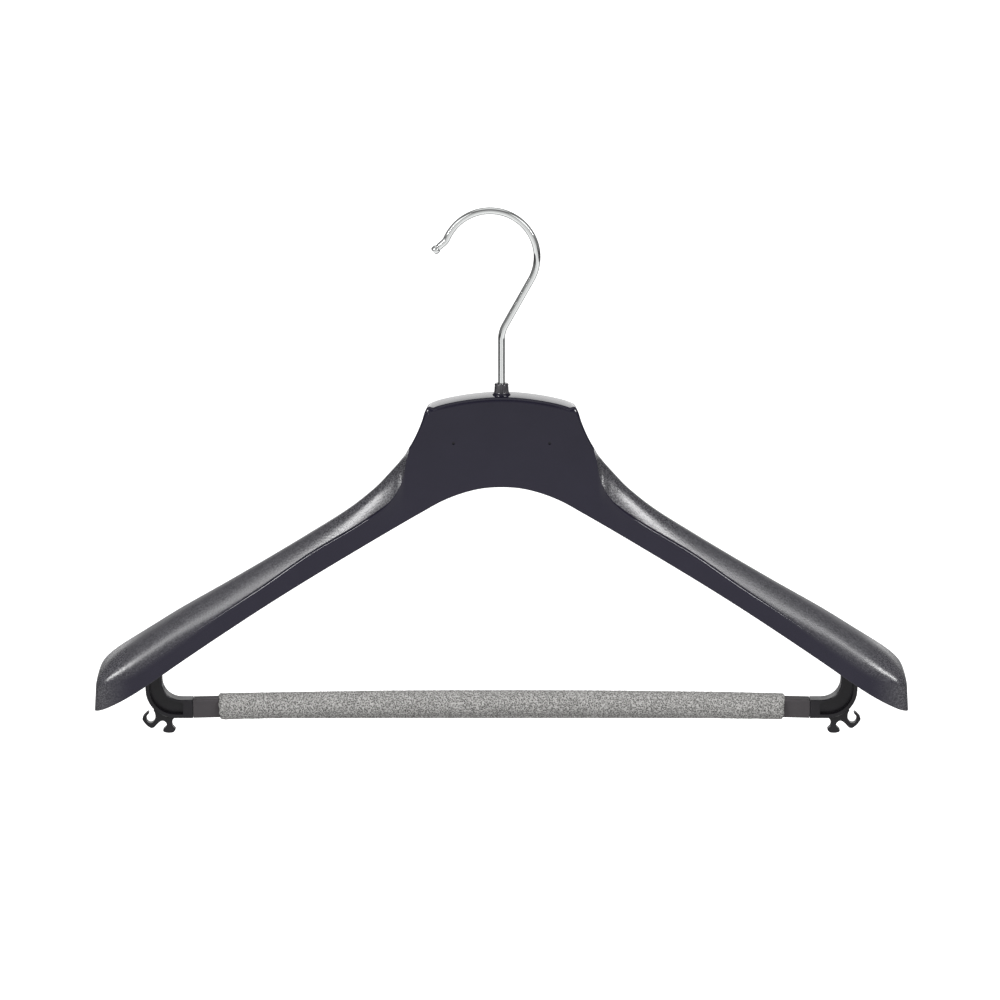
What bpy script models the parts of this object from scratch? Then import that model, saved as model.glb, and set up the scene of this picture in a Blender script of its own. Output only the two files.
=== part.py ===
"""A suit hanger: a hollow moulded body with wide shoulders, a swivelling wire hook, and a trouser
bar with a foam sleeve. Metres, +Z up, front towards -Y. The origin is where the rail bears inside
the hook, on the stem's axis."""

import math

import bmesh
import bpy
from mathutils import Vector

# Driving dimensions
OVERALL_WIDTH = 0.445
NECK_DEPTH = 0.018
WALL = 0.002
RIB = 0.0016
GAP = 0.0003
WIRE_DIAMETER = 0.0038
BAR_HEIGHT = 0.0106
BAR_DEPTH = 0.008
BAR_DROP = 0.0095
FOAM_DIAMETER = 0.0155
FOAM_SETBACK = 0.0157

HALF_WIDTH = OVERALL_WIDTH / 2

# Outline curves of one arm, as shares of the half width: (distance from the middle, height)
UNDERSIDE_SHARES = (
    (0.0, -0.6665), (0.049, -0.670), (0.098, -0.6825), (0.147, -0.7025), (0.196, -0.7305), (0.245, -0.759),
    (0.343, -0.816), (0.490, -0.903), (0.589, -0.964), (0.688, -1.0275), (0.787, -1.092), (0.894, -1.162),
    (0.944, -1.189), (1.0, -1.2125),
)
CREASE_SHARES = (
    (0.0, -0.4525), (0.067, -0.4565), (0.135, -0.4685), (0.166, -0.4775), (0.180, -0.4885),
    (0.188, -0.5075), (0.196, -0.5295), (0.221, -0.5825), (0.236, -0.6085), (0.244, -0.6365),
    (0.254, -0.6825), (0.276, -0.7045), (0.332, -0.7465), (0.471, -0.8295), (0.582, -0.9055),
    (0.665, -0.9595), (0.749, -1.0135), (0.832, -1.0665), (0.899, -1.1085), (0.953, -1.1365),
    (1.0, -1.147),
)
RIDGE_SHARES = (
    (0.0, -0.442), (0.067, -0.4465), (0.135, -0.4585), (0.166, -0.468), (0.179, -0.4755),
    (0.187, -0.4925), (0.195, -0.518), (0.220, -0.5725), (0.247, -0.6075), (0.2735, -0.6375),
    (0.300, -0.6665), (0.319, -0.684), (0.368, -0.7235), (0.467, -0.788), (0.666, -0.908),
    (0.718, -0.938), (0.792, -0.981), (0.865, -1.0265), (0.915, -1.0575), (1.0, -1.110),
)
# Plan of one arm, as shares of the half width: (distance from the middle, front or back)
FRONT_BULGE_SHARES = (
    (0.0, 0.0), (0.236, 0.0), (0.256, -0.008), (0.332, -0.0135), (0.471, -0.027), (0.582, -0.0405),
    (0.665, -0.052), (0.749, -0.065), (0.832, -0.081), (0.921, -0.099), (1.0, -0.108),
)
BACK_BULGE_SHARES = (
    (0.0, 0.0), (0.225, 0.0), (0.471, 0.009), (0.665, 0.0157), (0.921, 0.0225), (1.0, 0.0247),
)
# Where the moulded fillet of the neck has become the full dome of the shoulder
DOME_SHARES = ((0.0, 0.0), (0.225, 0.0), (0.256, 1.0), (1.0, 1.0))

FILLET_SHARE_OF_NECK = 0.28
DOME_POWER = 2.2
END_RADIUS = 0.036 * HALF_WIDTH
END_DRAFT = 0.001
END_DRAFT_POWER = 24
END_DROP_START_SHARE = 0.903
END_DROP_POWER = 3.6
END_DROP_ROUNDING = 3
END_RISE_SHARE = 0.06
MOST_STEEP = 3.0
STATION_STEP = HALF_WIDTH / 26
CLOSEST_STATIONS = STATION_STEP / 12
DOME_STEPS = 12
END_STEPS = 6
SMOOTH_ANGLE = math.radians(35)
BODY_SMOOTH_ANGLE = math.radians(25)

# Cutters pass the face that they open by this much, and reach past the body's front and back
CUT_PAST = 0.006
CUTTER_REACH = 4 * NECK_DEPTH

# Boss, collar and stem of the hook
COLLAR_TOP_DIAMETER = 0.0073
COLLAR_FOOT_DIAMETER = 0.008
COLLAR_BASE_DIAMETER = 0.010
COLLAR_HEIGHT = 0.0062
COLLAR_FLARE_HEIGHT = 0.0012
COLLAR_CHAMFER = 0.0004
COLLAR_SINK = 0.0015
BOSS_DIAMETER = 0.0088
BOSS_LENGTH = 0.024
WASHER_DIAMETER = 0.009
WASHER_THICKNESS = 0.0012
HEAD_DIAMETER = 0.0064
HEAD_THICKNESS = 0.0016
HEAD_CHAMFER = 0.0004
SHANK_RISE = 0.0001
ROUND_SIDES = 32

# Ribs inside the body, at shares of the half width
NECK_RIB_SHARES = (0.063, 0.130)
ARM_RIB_SHARES = (0.215, 0.300, 0.385, 0.470, 0.555, 0.640, 0.720, 0.790, 0.945)
SPINE_SHARES = (0.215, 0.830)
RIB_SETBACK = 0.002
SOCKET_SETBACK = 0.004
SPINE_SETBACK = 0.006
SPINE_STEPS = 8

# Pin marks on the neck's front face
PIN_MARK_DIAMETER = 0.0016
PIN_MARK_DEPTH = 0.0006
PIN_SIDES = 12
PIN_MARK_SHARES = (0.117, -0.5555)

# Elbow at each end of the bar
ELBOW_INSET = 0.0266
ELBOW_REACH = 0.026
ELBOW_LEG_OUT = HALF_WIDTH - ELBOW_INSET
BAR_SEAM = ELBOW_LEG_OUT - ELBOW_REACH
BAR_BOTTOM = HALF_WIDTH * UNDERSIDE_SHARES[-1][1] - BAR_DROP
ELBOW_RADIUS = 0.0162
ELBOW_LEG_WIDTH = 0.009
ELBOW_INNER_RADIUS = 0.0105
OUTER_FLANGE = 0.0022
INNER_FLANGE = 0.0012
WEB = 0.002
END_BLOCK = 0.0053
SPIGOT_LENGTH = 0.012
ELBOW_CHAMFER = 0.0005
ELBOW_ARC_STEP = math.radians(11)
RECESS_SLOPE = 0.0013
BAR_WALL = 0.0015
BAR_CORNER = 0.001
BORE_CORNER = 0.0005
BAR_CAMBER = 0.0023
BAR_STEPS = 24
CORNER_STEPS = 3
FOAM_CORNER_STEPS = 4
TANG_REACH = 0.0176
TANG_PLAIN = 0.010
BARB_REACH = 0.0005
BARB_HEIGHT = 0.003
BARB_DROP = 0.004
BARB_DEPTH = 0.004
PLATE_THICKNESS = 0.0034
PLATE_SPAN = 0.0178
PLATE_OVERHANG = 0.0022
PLATE_STEPS = 2
# Loop hook and knob below the elbow, in shares of the plate's span: across from the loop's outer
# side, and up from the bar's underside
PLATE_OUTLINE_SHARES = (
    (0.460, 0.225), (0.347, 0.226), (0.378, 0.164), (0.399, 0.075), (0.399, -0.014), (0.376, -0.099),
    (0.331, -0.161), (0.269, -0.191), (0.213, -0.191), (0.159, -0.154), (0.128, -0.097), (0.120, -0.020),
    (0.155, 0.059), (0.201, 0.113), (0.213, 0.144), (0.186, 0.162), (0.149, 0.155), (0.093, 0.097),
    (0.031, 0.034), (0.0, -0.036), (0.004, -0.093), (0.041, -0.154), (0.114, -0.249), (0.217, -0.337),
    (0.285, -0.356), (0.341, -0.341), (0.393, -0.298), (0.465, -0.217), (0.527, -0.162), (0.569, -0.133),
    (0.620, -0.119), (0.672, -0.132), (0.724, -0.173), (0.749, -0.223), (0.749, -0.272), (0.724, -0.320),
    (0.662, -0.374), (0.631, -0.421), (0.641, -0.465), (0.682, -0.492), (0.755, -0.509), (0.837, -0.513),
    (0.920, -0.503), (0.978, -0.473), (1.017, -0.416), (1.003, -0.367), (0.951, -0.315), (0.920, -0.262),
    (0.916, -0.193), (0.931, -0.114), (0.972, -0.046), (1.024, -0.011), (1.060, 0.060),
)

# Wire of the hook
ARC_CENTRE_X = -0.0062
ARC_RADIUS = 0.0253
ARC_END_ANGLE = math.radians(156)
LEAN_ANGLE = math.radians(61)
STEM_BEND_RADIUS = 0.016
TIP_BEND_RADIUS = 0.007
TIP_ANGLE = math.radians(222)
TIP_LENGTH = 0.0075
BEAD_LENGTH = 0.0032
BEAD_DIAMETER = 0.0048
# Each ring of the bead: its distance from the tip in bead lengths, its size in bead diameters
BEAD_SHAPE_SHARES = ((1.25, 0.73), (1.0, 0.73), (0.8, 1.0), (0.2, 1.0), (0.0, 0.75))
WIRE_SIDES = 12
ARC_STEP = math.radians(9)

MATERIALS = {
    "hanger_body": ((0.035, 0.033, 0.046), 0.3, 0.0),
    "hook": ((0.83, 0.84, 0.85), 0.12, 1.0),
    "hook_washer": ((0.6, 0.6, 0.6), 0.35, 1.0),
    "bar_end_left": ((0.045, 0.043, 0.05), 0.35, 0.0),
    "bar_end_right": ((0.045, 0.043, 0.05), 0.35, 0.0),
    "bar_tube": ((0.06, 0.055, 0.06), 0.35, 0.0),
    "foam_sleeve": ((0.33, 0.33, 0.32), 0.95, 0.0),
}


def clear_scene():
    for obj in list(bpy.data.objects):
        bpy.data.objects.remove(obj, do_unlink=True)


def finish(obj, smooth_angle=SMOOTH_ANGLE):
    """Gives the object its material and shading."""
    colour, roughness, metallic = MATERIALS[obj.name]
    material = bpy.data.materials.new(obj.name)
    material.use_nodes = True
    shader = material.node_tree.nodes["Principled BSDF"]
    shader.inputs["Base Color"].default_value = (*colour, 1.0)
    shader.inputs["Roughness"].default_value = roughness
    shader.inputs["Metallic"].default_value = metallic
    obj.data.materials.append(material)
    obj.data.shade_smooth()
    obj.data.set_sharp_from_angle(angle=smooth_angle)
    return obj


def helper(obj):
    """Marks a cutter, which is never shown."""
    obj.hide_render = True
    obj.display_type = "WIRE"
    return obj


def mesh_object(name, bm):
    bmesh.ops.recalc_face_normals(bm, faces=bm.faces)
    bmesh.ops.triangulate(bm, faces=bm.faces)
    mesh = bpy.data.meshes.new(name)
    bm.to_mesh(mesh)
    bm.free()
    obj = bpy.data.objects.new(name, mesh)
    bpy.context.scene.collection.objects.link(obj)
    return obj


def boolean(obj, other, operation):
    modifier = obj.modifiers.new(f"{operation.lower()} {other.name}", "BOOLEAN")
    modifier.operation = operation
    modifier.solver = "EXACT"
    modifier.object = other
    helper(other)


def loft(name, *solids):
    """One object with a capped solid for each list of rings, whose rings have equally many points."""
    bm = bmesh.new()
    for rings in solids:
        made = [[bm.verts.new(point) for point in ring] for ring in rings]
        count = len(made[0])
        for ring, after in zip(made, made[1:]):
            for i in range(count):
                j = (i + 1) % count
                bm.faces.new((ring[i], ring[j], after[j], after[i]))
        bm.faces.new(made[0])
        bm.faces.new(made[-1])
    return mesh_object(name, bm)


def box(low, high):
    """Rings of a box between two corners."""
    corners = ((low[1], low[2]), (high[1], low[2]), (high[1], high[2]), (low[1], high[2]))
    return [[(x, y, z) for y, z in corners] for x in (low[0], high[0])]


def cylinder(start, axis, diameter, length, sides=ROUND_SIDES):
    """Rings of a round bar from start along the unit vector axis."""
    along = Vector(axis)
    side = along.orthogonal().normalized()
    across = along.cross(side)
    turns = [2 * math.pi * i / sides for i in range(sides)]
    rings = []
    for step in (0, length):
        centre = Vector(start) + along * step
        rings.append([centre + (side * math.cos(a) + across * math.sin(a)) * diameter / 2 for a in turns])
    return rings


def flat_solid(outline, y_low, y_high, side=1):
    """Rings of a flat solid with this outline in the XZ plane, mirrored across the middle for side -1."""
    return [[(side * x, y, z) for x, z in outline] for y in (y_low, y_high)]


def curve_at(shares, share):
    """The height of a smooth curve through the share points, which never overshoots them."""
    xs = [point[0] for point in shares]
    ys = [point[1] for point in shares]
    share = min(max(share, xs[0]), xs[-1])
    slopes = [(b - a) / (d - c) for a, b, c, d in zip(ys, ys[1:], xs, xs[1:])]
    tangents = [slopes[0]]
    for before, after in zip(slopes, slopes[1:]):
        tangents.append(2 * before * after / (before + after) if before * after > 0 else 0.0)
    tangents.append(slopes[-1])
    k = max(i for i in range(len(slopes)) if xs[i] <= share)
    span = xs[k + 1] - xs[k]
    t = (share - xs[k]) / span
    start = ys[k] * (1 + 2 * t) * (1 - t) ** 2 + tangents[k] * span * t * (1 - t) ** 2
    end = ys[k + 1] * t * t * (3 - 2 * t) + tangents[k + 1] * span * t * t * (t - 1)
    return start + end


def height(shares, x):
    return HALF_WIDTH * curve_at(shares, abs(x) / HALF_WIDTH)


def steepness(shares, x):
    """How much thicker a wall measured upwards is than the same wall measured square to the curve."""
    step = WALL / 4
    slope = (height(shares, abs(x) + step) - height(shares, abs(x) - step)) / (2 * step)
    return min(math.hypot(1, slope), MOST_STEEP)


def plan_front(x):
    return -NECK_DEPTH / 2 + height(FRONT_BULGE_SHARES, x)


def plan_back(x):
    return NECK_DEPTH / 2 + height(BACK_BULGE_SHARES, x)


def plan_middle(x):
    return (plan_front(x) + plan_back(x)) / 2


def bar_y():
    """The bar lies under the middle of the arms' depth, where the elbows plug in."""
    return plan_middle(ELBOW_LEG_OUT - ELBOW_LEG_WIDTH / 2)


def tang_top():
    return height(UNDERSIDE_SHARES, ELBOW_LEG_OUT) + TANG_REACH


def corner_loss(x):
    """How far the rounded corner of the arm's end has drawn the front and the back in."""
    past = max(0.0, abs(x) - (HALF_WIDTH - END_RADIUS))
    return END_RADIUS - math.sqrt(max(0.0, END_RADIUS**2 - past**2))


def dome_rise(x):
    """Height of the shoulder's dome over its crease, closing towards the arm's end."""
    rise = height(RIDGE_SHARES, x) - height(CREASE_SHARES, x)
    past = max(0.0, abs(x) / HALF_WIDTH - END_DROP_START_SHARE) / (1 - END_DROP_START_SHARE)
    return rise * max(END_RISE_SHARE, (1 - past**END_DROP_POWER) ** (1 / END_DROP_ROUNDING))


def body_section(x, inset=0.0, below=0.0):
    """One section across the arm: up the front wall, over the dome and down the back wall."""
    half = (plan_back(x) - plan_front(x)) / 2 - corner_loss(x) - inset
    middle = plan_middle(x)
    bottom = height(UNDERSIDE_SHARES, x) - below
    crease = height(CREASE_SHARES, x) - inset * steepness(CREASE_SHARES, x)
    top = height(CREASE_SHARES, x) + dome_rise(x) - inset * steepness(RIDGE_SHARES, x)
    rise = max(top - crease, inset / 2)
    fillet = FILLET_SHARE_OF_NECK * NECK_DEPTH / 2
    blend = curve_at(DOME_SHARES, abs(x) / HALF_WIDTH)
    drawn = math.copysign(END_DRAFT * (abs(x) / HALF_WIDTH) ** END_DRAFT_POWER, x)
    upper = x - drawn
    points = [(x, middle - half, bottom), (upper, middle - half, crease)]
    for i in range(1, DOME_STEPS):
        turn = math.pi * i / DOME_STEPS
        side = -1 if turn < math.pi / 2 else 1
        away = abs(math.cos(turn))
        rounded = half - fillet + fillet * away if away > 0 else 0.0
        domed = half * away ** (2 / DOME_POWER)
        y = side * (rounded * (1 - blend) + domed * blend)
        z = rise * (math.sin(turn) * (1 - blend) + math.sin(turn) ** 2 * blend)
        points.append((upper, middle + y, crease + z))
    points.append((upper, middle + half, crease))
    points.append((x, middle + half, bottom))
    return points


def stations(end):
    """Distances from the middle where the arm gets a section, up to its end."""
    marks = {0.0, end}
    for shares in (CREASE_SHARES, RIDGE_SHARES, FRONT_BULGE_SHARES):
        marks |= {HALF_WIDTH * point[0] for point in shares}
    for i in range(END_STEPS + 1):
        marks.add(end - END_RADIUS * (1 - math.sin(math.pi * i / (2 * END_STEPS))))
    marks = sorted(mark for mark in marks if mark <= end)
    spaced = [marks[0]]
    for mark in marks[1:]:
        if mark - spaced[-1] < CLOSEST_STATIONS and mark != end:
            continue
        pieces = math.ceil((mark - spaced[-1]) / STATION_STEP)
        start = spaced[-1]
        spaced += [start + (mark - start) * (i + 1) / pieces for i in range(pieces)]
    return spaced


def both_arms(end, **how):
    """Sections from the left arm's end to the right arm's end."""
    right = stations(end)
    return [body_section(x, **how) for x in [-x for x in reversed(right[1:])] + right]


def socket_span():
    """The socket's inner box: the tang with a gap all round, as (left, right, front, back)."""
    outer = ELBOW_LEG_OUT + GAP
    inner = ELBOW_LEG_OUT - ELBOW_LEG_WIDTH - GAP
    depth = BAR_DEPTH / 2 + GAP
    return inner, outer, bar_y() - depth, bar_y() + depth


def keep_solid():
    """What stays solid inside the body's cavity, in groups whose solids don't touch one another."""
    ribs = []
    spines = []
    sockets = []
    for side in (-1, 1):
        for share in NECK_RIB_SHARES + ARM_RIB_SHARES:
            x = side * share * HALF_WIDTH
            low = (x - RIB / 2, -CUTTER_REACH, height(UNDERSIDE_SHARES, x) + RIB_SETBACK)
            ribs.append(box(low, (x + RIB / 2, CUTTER_REACH, 0)))
        spines.append(spine(side))
        inner, outer, front, back = socket_span()
        xs = sorted((side * (inner - RIB), side * (outer + RIB)))
        low = (xs[0], front - RIB, height(UNDERSIDE_SHARES, outer) + SOCKET_SETBACK)
        sockets.append(box(low, (xs[1], back + RIB, 0)))
    boss_low = height(RIDGE_SHARES, 0) - BOSS_LENGTH
    boss = cylinder((0, 0, boss_low), (0, 0, 1), BOSS_DIAMETER, BOSS_LENGTH)
    reach = NECK_RIB_SHARES[-1] * HALF_WIDTH
    neck_web = box((-reach, -RIB / 2, boss_low + RIB_SETBACK), (reach, RIB / 2, 0))
    return loft("ribs", *ribs), loft("spines", *spines, neck_web), loft("sockets", *sockets, boss)


def spine(side):
    """The rib along the middle of one arm."""
    start, end = (share * HALF_WIDTH for share in SPINE_SHARES)
    rings = []
    for i in range(SPINE_STEPS + 1):
        x = start + (end - start) * i / SPINE_STEPS
        y = plan_middle(x)
        low = height(UNDERSIDE_SHARES, x) + SPINE_SETBACK
        rings.append([(side * x, y - RIB / 2, low), (side * x, y + RIB / 2, low),
                      (side * x, y + RIB / 2, 0), (side * x, y - RIB / 2, 0)])
    return rings


def collar():
    """The turned collar where the stem comes out of the neck."""
    base = height(RIDGE_SHARES, 0)
    flare = base + COLLAR_FLARE_HEIGHT
    profile = [
        (COLLAR_BASE_DIAMETER / 2, base - COLLAR_SINK),
        (COLLAR_BASE_DIAMETER / 2, base),
        (COLLAR_FOOT_DIAMETER / 2, flare),
        (COLLAR_TOP_DIAMETER / 2, base + COLLAR_HEIGHT - COLLAR_CHAMFER),
        (COLLAR_TOP_DIAMETER / 2 - COLLAR_CHAMFER, base + COLLAR_HEIGHT),
    ]
    turns = [2 * math.pi * i / ROUND_SIDES for i in range(ROUND_SIDES)]
    return [[(r * math.cos(a), r * math.sin(a), z) for a in turns] for r, z in profile]


def holes():
    """Stem bore, sockets and pin marks, which don't touch one another."""
    underside = height(UNDERSIDE_SHARES, 0)
    cuts = [cylinder((0, 0, underside), (0, 0, 1), WIRE_DIAMETER + 2 * GAP, -underside)]
    inner, outer, front, back = socket_span()
    across, up = (share * HALF_WIDTH for share in PIN_MARK_SHARES)
    for side in (-1, 1):
        xs = sorted((side * inner, side * outer))
        low = (xs[0], front, height(UNDERSIDE_SHARES, HALF_WIDTH))
        cuts.append(box(low, (xs[1], back, tang_top() + GAP)))
        start = (side * across, -NECK_DEPTH / 2 - PIN_MARK_DEPTH, up)
        cuts.append(cylinder(start, (0, 1, 0), PIN_MARK_DIAMETER, 2 * PIN_MARK_DEPTH, PIN_SIDES))
    return cuts


def barb_windows():
    """The windows in the sockets' walls that the tangs' barbs snap into."""
    inner, outer, _, _ = socket_span()
    barb_top = tang_top() - BARB_DROP
    windows = []
    for side in (-1, 1):
        xs = sorted((side * (inner - RIB - GAP), side * (outer + RIB + GAP)))
        low = (xs[0], bar_y() - BARB_DEPTH / 2 - GAP, barb_top - BARB_HEIGHT - GAP)
        high = (xs[1], bar_y() + BARB_DEPTH / 2 + GAP, barb_top + GAP)
        windows.append(box(low, high))
    return windows


def hanger_body():
    body = loft("hanger_body", both_arms(HALF_WIDTH))
    cavity = loft("cavity", both_arms(HALF_WIDTH - WALL, inset=WALL, below=CUT_PAST))
    for kept in keep_solid():
        boolean(cavity, kept, "DIFFERENCE")
    boolean(body, loft("collar", collar()), "UNION")
    boolean(body, loft("holes", *holes()), "DIFFERENCE")
    boolean(body, loft("barb_windows", *barb_windows()), "DIFFERENCE")
    boolean(body, cavity, "DIFFERENCE")
    return finish(body, BODY_SMOOTH_ANGLE)


def arc_points(centre, radius, start, end, step=ARC_STEP):
    """Points in the XZ plane along an arc, from one angle to another."""
    count = max(2, math.ceil(abs(end - start) / step))
    angles = [start + (end - start) * i / count for i in range(count + 1)]
    return [Vector((centre[0] + radius * math.cos(a), 0, centre[1] + radius * math.sin(a))) for a in angles]


def hook_path():
    """Centre line of the wire, from the head inside the neck to the tip."""
    # The rail bears at the origin, under the arc's top, where the inner side of the wire passes
    inner_radius = ARC_RADIUS - WIRE_DIAMETER / 2
    centre = (ARC_CENTRE_X, -math.sqrt(inner_radius**2 - ARC_CENTRE_X**2))
    # The leaning run leaves the arc at right angles to this radius
    leave = LEAN_ANGLE - math.pi / 2
    start = Vector((centre[0] + ARC_RADIUS * math.cos(leave), 0, centre[1] + ARC_RADIUS * math.sin(leave)))
    down = Vector((-math.cos(LEAN_ANGLE), 0, -math.sin(LEAN_ANGLE)))
    corner = start + down * (start.x / math.cos(LEAN_ANGLE))
    turn = math.pi / 2 - LEAN_ANGLE
    cut = STEM_BEND_RADIUS * math.tan(turn / 2)
    head_bottom = neck_hang() - HEAD_THICKNESS - WASHER_THICKNESS - 2 * GAP
    bend = arc_points((STEM_BEND_RADIUS, corner.z - cut), STEM_BEND_RADIUS, math.pi, math.pi - turn)
    crook = arc_points(centre, ARC_RADIUS, leave, ARC_END_ANGLE)
    # The tip turns outwards again, so its bend is centred outside the arc
    out = Vector((math.cos(ARC_END_ANGLE), 0, math.sin(ARC_END_ANGLE)))
    tip_centre = crook[-1] + out * TIP_BEND_RADIUS
    tip_turn = TIP_ANGLE - (ARC_END_ANGLE + math.pi / 2)
    start_angle = ARC_END_ANGLE + math.pi
    end_angle = start_angle + tip_turn
    tip_bend = arc_points((tip_centre.x, tip_centre.z), TIP_BEND_RADIUS, start_angle, end_angle)
    heading = Vector((math.cos(TIP_ANGLE), 0, math.sin(TIP_ANGLE)))
    tip = tip_bend[-1] + heading * TIP_LENGTH
    return [Vector((0, 0, head_bottom)), *bend, *crook, *tip_bend[1:], tip]


def neck_hang():
    """Height of the boss's lower end, less the gap under it."""
    return height(RIDGE_SHARES, 0) - BOSS_LENGTH - GAP


def sweep(name, centres, radii, sides):
    """A round solid along a path in the XZ plane, with a radius at each point."""
    rings = []
    for i, centre in enumerate(centres):
        before = centres[max(i - 1, 0)]
        after = centres[min(i + 1, len(centres) - 1)]
        if (after - before).length < GAP / 100:
            after = centres[min(i + 2, len(centres) - 1)]
        along = (after - before).normalized()
        side = Vector((along.z, 0, -along.x))
        across = Vector((0, 1, 0))
        turns = [2 * math.pi * k / sides for k in range(sides)]
        rings.append([centre + (side * math.cos(a) + across * math.sin(a)) * radii[i] for a in turns])
    return loft(name, rings)


def hook():
    path = hook_path()
    wire = WIRE_DIAMETER / 2
    head_top = path[0] + Vector((0, 0, HEAD_THICKNESS))
    chamfer = Vector((0, 0, HEAD_CHAMFER))
    full = HEAD_DIAMETER / 2
    centres = [path[0], path[0] + chamfer, head_top - chamfer, head_top]
    radii = [full - HEAD_CHAMFER, full, full, full - HEAD_CHAMFER]
    centres.append(head_top + Vector((0, 0, SHANK_RISE)))
    radii.append(wire)
    centres += path[1:-1]
    radii += [wire] * len(path[1:-1])
    tip, before = path[-1], path[-2]
    along = (tip - before).normalized()
    for back, size in BEAD_SHAPE_SHARES:
        centres.append(tip - along * back * BEAD_LENGTH)
        radii.append(size * BEAD_DIAMETER / 2)
    return finish(sweep("hook", centres, radii, WIRE_SIDES))


def hook_washer():
    top = neck_hang()
    low = top - WASHER_THICKNESS
    washer = loft("hook_washer", cylinder((0, 0, low), (0, 0, 1), WASHER_DIAMETER, WASHER_THICKNESS))
    below = low - WASHER_THICKNESS
    hole = cylinder((0, 0, below), (0, 0, 1), WIRE_DIAMETER + 2 * GAP, 3 * WASHER_THICKNESS)
    boolean(washer, loft("washer_hole", hole), "DIFFERENCE")
    return finish(washer)


def elbow_outline(outer_inset=0.0, inner_inset=0.0, end=None, top=None, slope=0.0):
    """Outline of the right elbow: down and round its outer edge, then back along the inner one."""
    end = BAR_SEAM + GAP / 2 if end is None else end
    top = tang_top() if top is None else top
    outer_x = ELBOW_LEG_OUT - outer_inset
    inner_x = ELBOW_LEG_OUT - ELBOW_LEG_WIDTH + inner_inset
    low = BAR_BOTTOM + outer_inset
    high = BAR_BOTTOM + BAR_HEIGHT - inner_inset
    radius = ELBOW_RADIUS - outer_inset
    inner_radius = ELBOW_INNER_RADIUS + inner_inset
    outer_centre = (outer_x - radius, low + radius)
    inner_centre = (inner_x - inner_radius, high + inner_radius)
    outer = arc_points(outer_centre, radius, 0, -math.pi / 2, ELBOW_ARC_STEP)
    inner = arc_points(inner_centre, inner_radius, -math.pi / 2, 0, ELBOW_ARC_STEP)
    points = [(outer_x, top)] + [(p.x, p.z) for p in outer] + [(end, low), (end, high - slope)]
    return points + [(p.x, p.z) for p in inner] + [(inner_x, top)]


def plate_outline():
    """Loop hook and knob, for the right side, as a smooth closed curve through the share points."""
    left = ELBOW_LEG_OUT + PLATE_OVERHANG
    corners = [(left - u * PLATE_SPAN, BAR_BOTTOM + w * PLATE_SPAN) for u, w in PLATE_OUTLINE_SHARES]
    points = []
    count = len(corners)
    for i in range(count - 1):
        before, start, end, after = (Vector((*corners[j % count], 0)) for j in (i - 1, i, i + 1, i + 2))
        if i == 0:
            before = start
        if i == count - 2:
            after = end
        for t in (step / PLATE_STEPS for step in range(PLATE_STEPS)):
            point = (2 * start + (end - before) * t + (2 * before - 5 * start + 4 * end - after) * t * t
                     + (3 * start - before - 3 * end + after) * t**3) / 2
            points.append((point.x, point.y))
    points.append(corners[-1])
    return points


def rounded_section(x, z, width, tall, radius, steps=CORNER_STEPS):
    """Ring of a rounded rectangle across the bar, at one place along it."""
    points = []
    for quarter in range(4):
        for i in range(steps + 1):
            a = math.pi / 2 * (quarter + i / steps)
            cy = (width / 2 - radius) * (1 if quarter in (0, 3) else -1)
            cz = (tall / 2 - radius) * (1 if quarter in (0, 1) else -1)
            points.append((x, bar_y() + cy + radius * math.cos(a), z + cz + radius * math.sin(a)))
    return points


def elbow(name, side):
    """The elbow's block of I section: a web between recesses, and flanges with chamfered edges."""
    full = elbow_outline()
    drawn_in = elbow_outline(ELBOW_CHAMFER, ELBOW_CHAMFER)
    recess_end = BAR_SEAM + GAP / 2 + END_BLOCK
    recess = elbow_outline(OUTER_FLANGE, INNER_FLANGE, recess_end, tang_top() - TANG_PLAIN, RECESS_SLOPE)
    face = BAR_DEPTH / 2
    shoulder = face - ELBOW_CHAMFER
    layers = ((-WEB / 2, recess), (-face, recess), (-face, drawn_in), (-shoulder, full),
              (shoulder, full), (face, drawn_in), (face, recess), (WEB / 2, recess))
    return loft(name, [[(side * x, bar_y() + y, z) for x, z in outline] for y, outline in layers])


def bar_end(name, side):
    piece = elbow(name, side)
    seam = BAR_SEAM + GAP / 2
    plate_front = bar_y() - PLATE_THICKNESS / 2
    plate = flat_solid(plate_outline(), plate_front, plate_front + PLATE_THICKNESS, side)
    margin = 2 * (BAR_WALL + GAP)
    places = (seam - SPIGOT_LENGTH, seam - SPIGOT_LENGTH / 2, seam + END_BLOCK / 2)
    spigot = [rounded_section(side * x, bar_height(x), BAR_DEPTH - margin, BAR_HEIGHT - margin, BORE_CORNER)
              for x in places]
    barb_top = tang_top() - BARB_DROP
    barb_low = barb_top - BARB_HEIGHT
    barb_front, barb_back = bar_y() - BARB_DEPTH / 2, bar_y() + BARB_DEPTH / 2
    barbs = []
    for x, reach in ((ELBOW_LEG_OUT, BARB_REACH), (ELBOW_LEG_OUT - ELBOW_LEG_WIDTH, -BARB_REACH)):
        wedge = [(x - reach, barb_top), (x + reach, barb_low), (x - reach, barb_low)]
        barbs.append(flat_solid(wedge, barb_front, barb_back, side))
    boolean(piece, loft(f"{name}_details", plate, spigot, *barbs), "UNION")
    return finish(piece)


def bar_height(x):
    """Centre of the cambered bar, which is highest in the middle."""
    share = min(abs(x) / BAR_SEAM, 1)
    return BAR_BOTTOM + BAR_HEIGHT / 2 + BAR_CAMBER * (1 - share**2)


def along_bar(half_length, make_ring):
    return [make_ring(half_length * (2 * i / BAR_STEPS - 1)) for i in range(BAR_STEPS + 1)]


def hollow(name, half_length, outer, inner):
    piece = loft(name, along_bar(half_length, outer))
    bore = loft(f"{name}_bore", along_bar(half_length + CUT_PAST, inner))
    boolean(piece, bore, "DIFFERENCE")
    return piece


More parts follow.
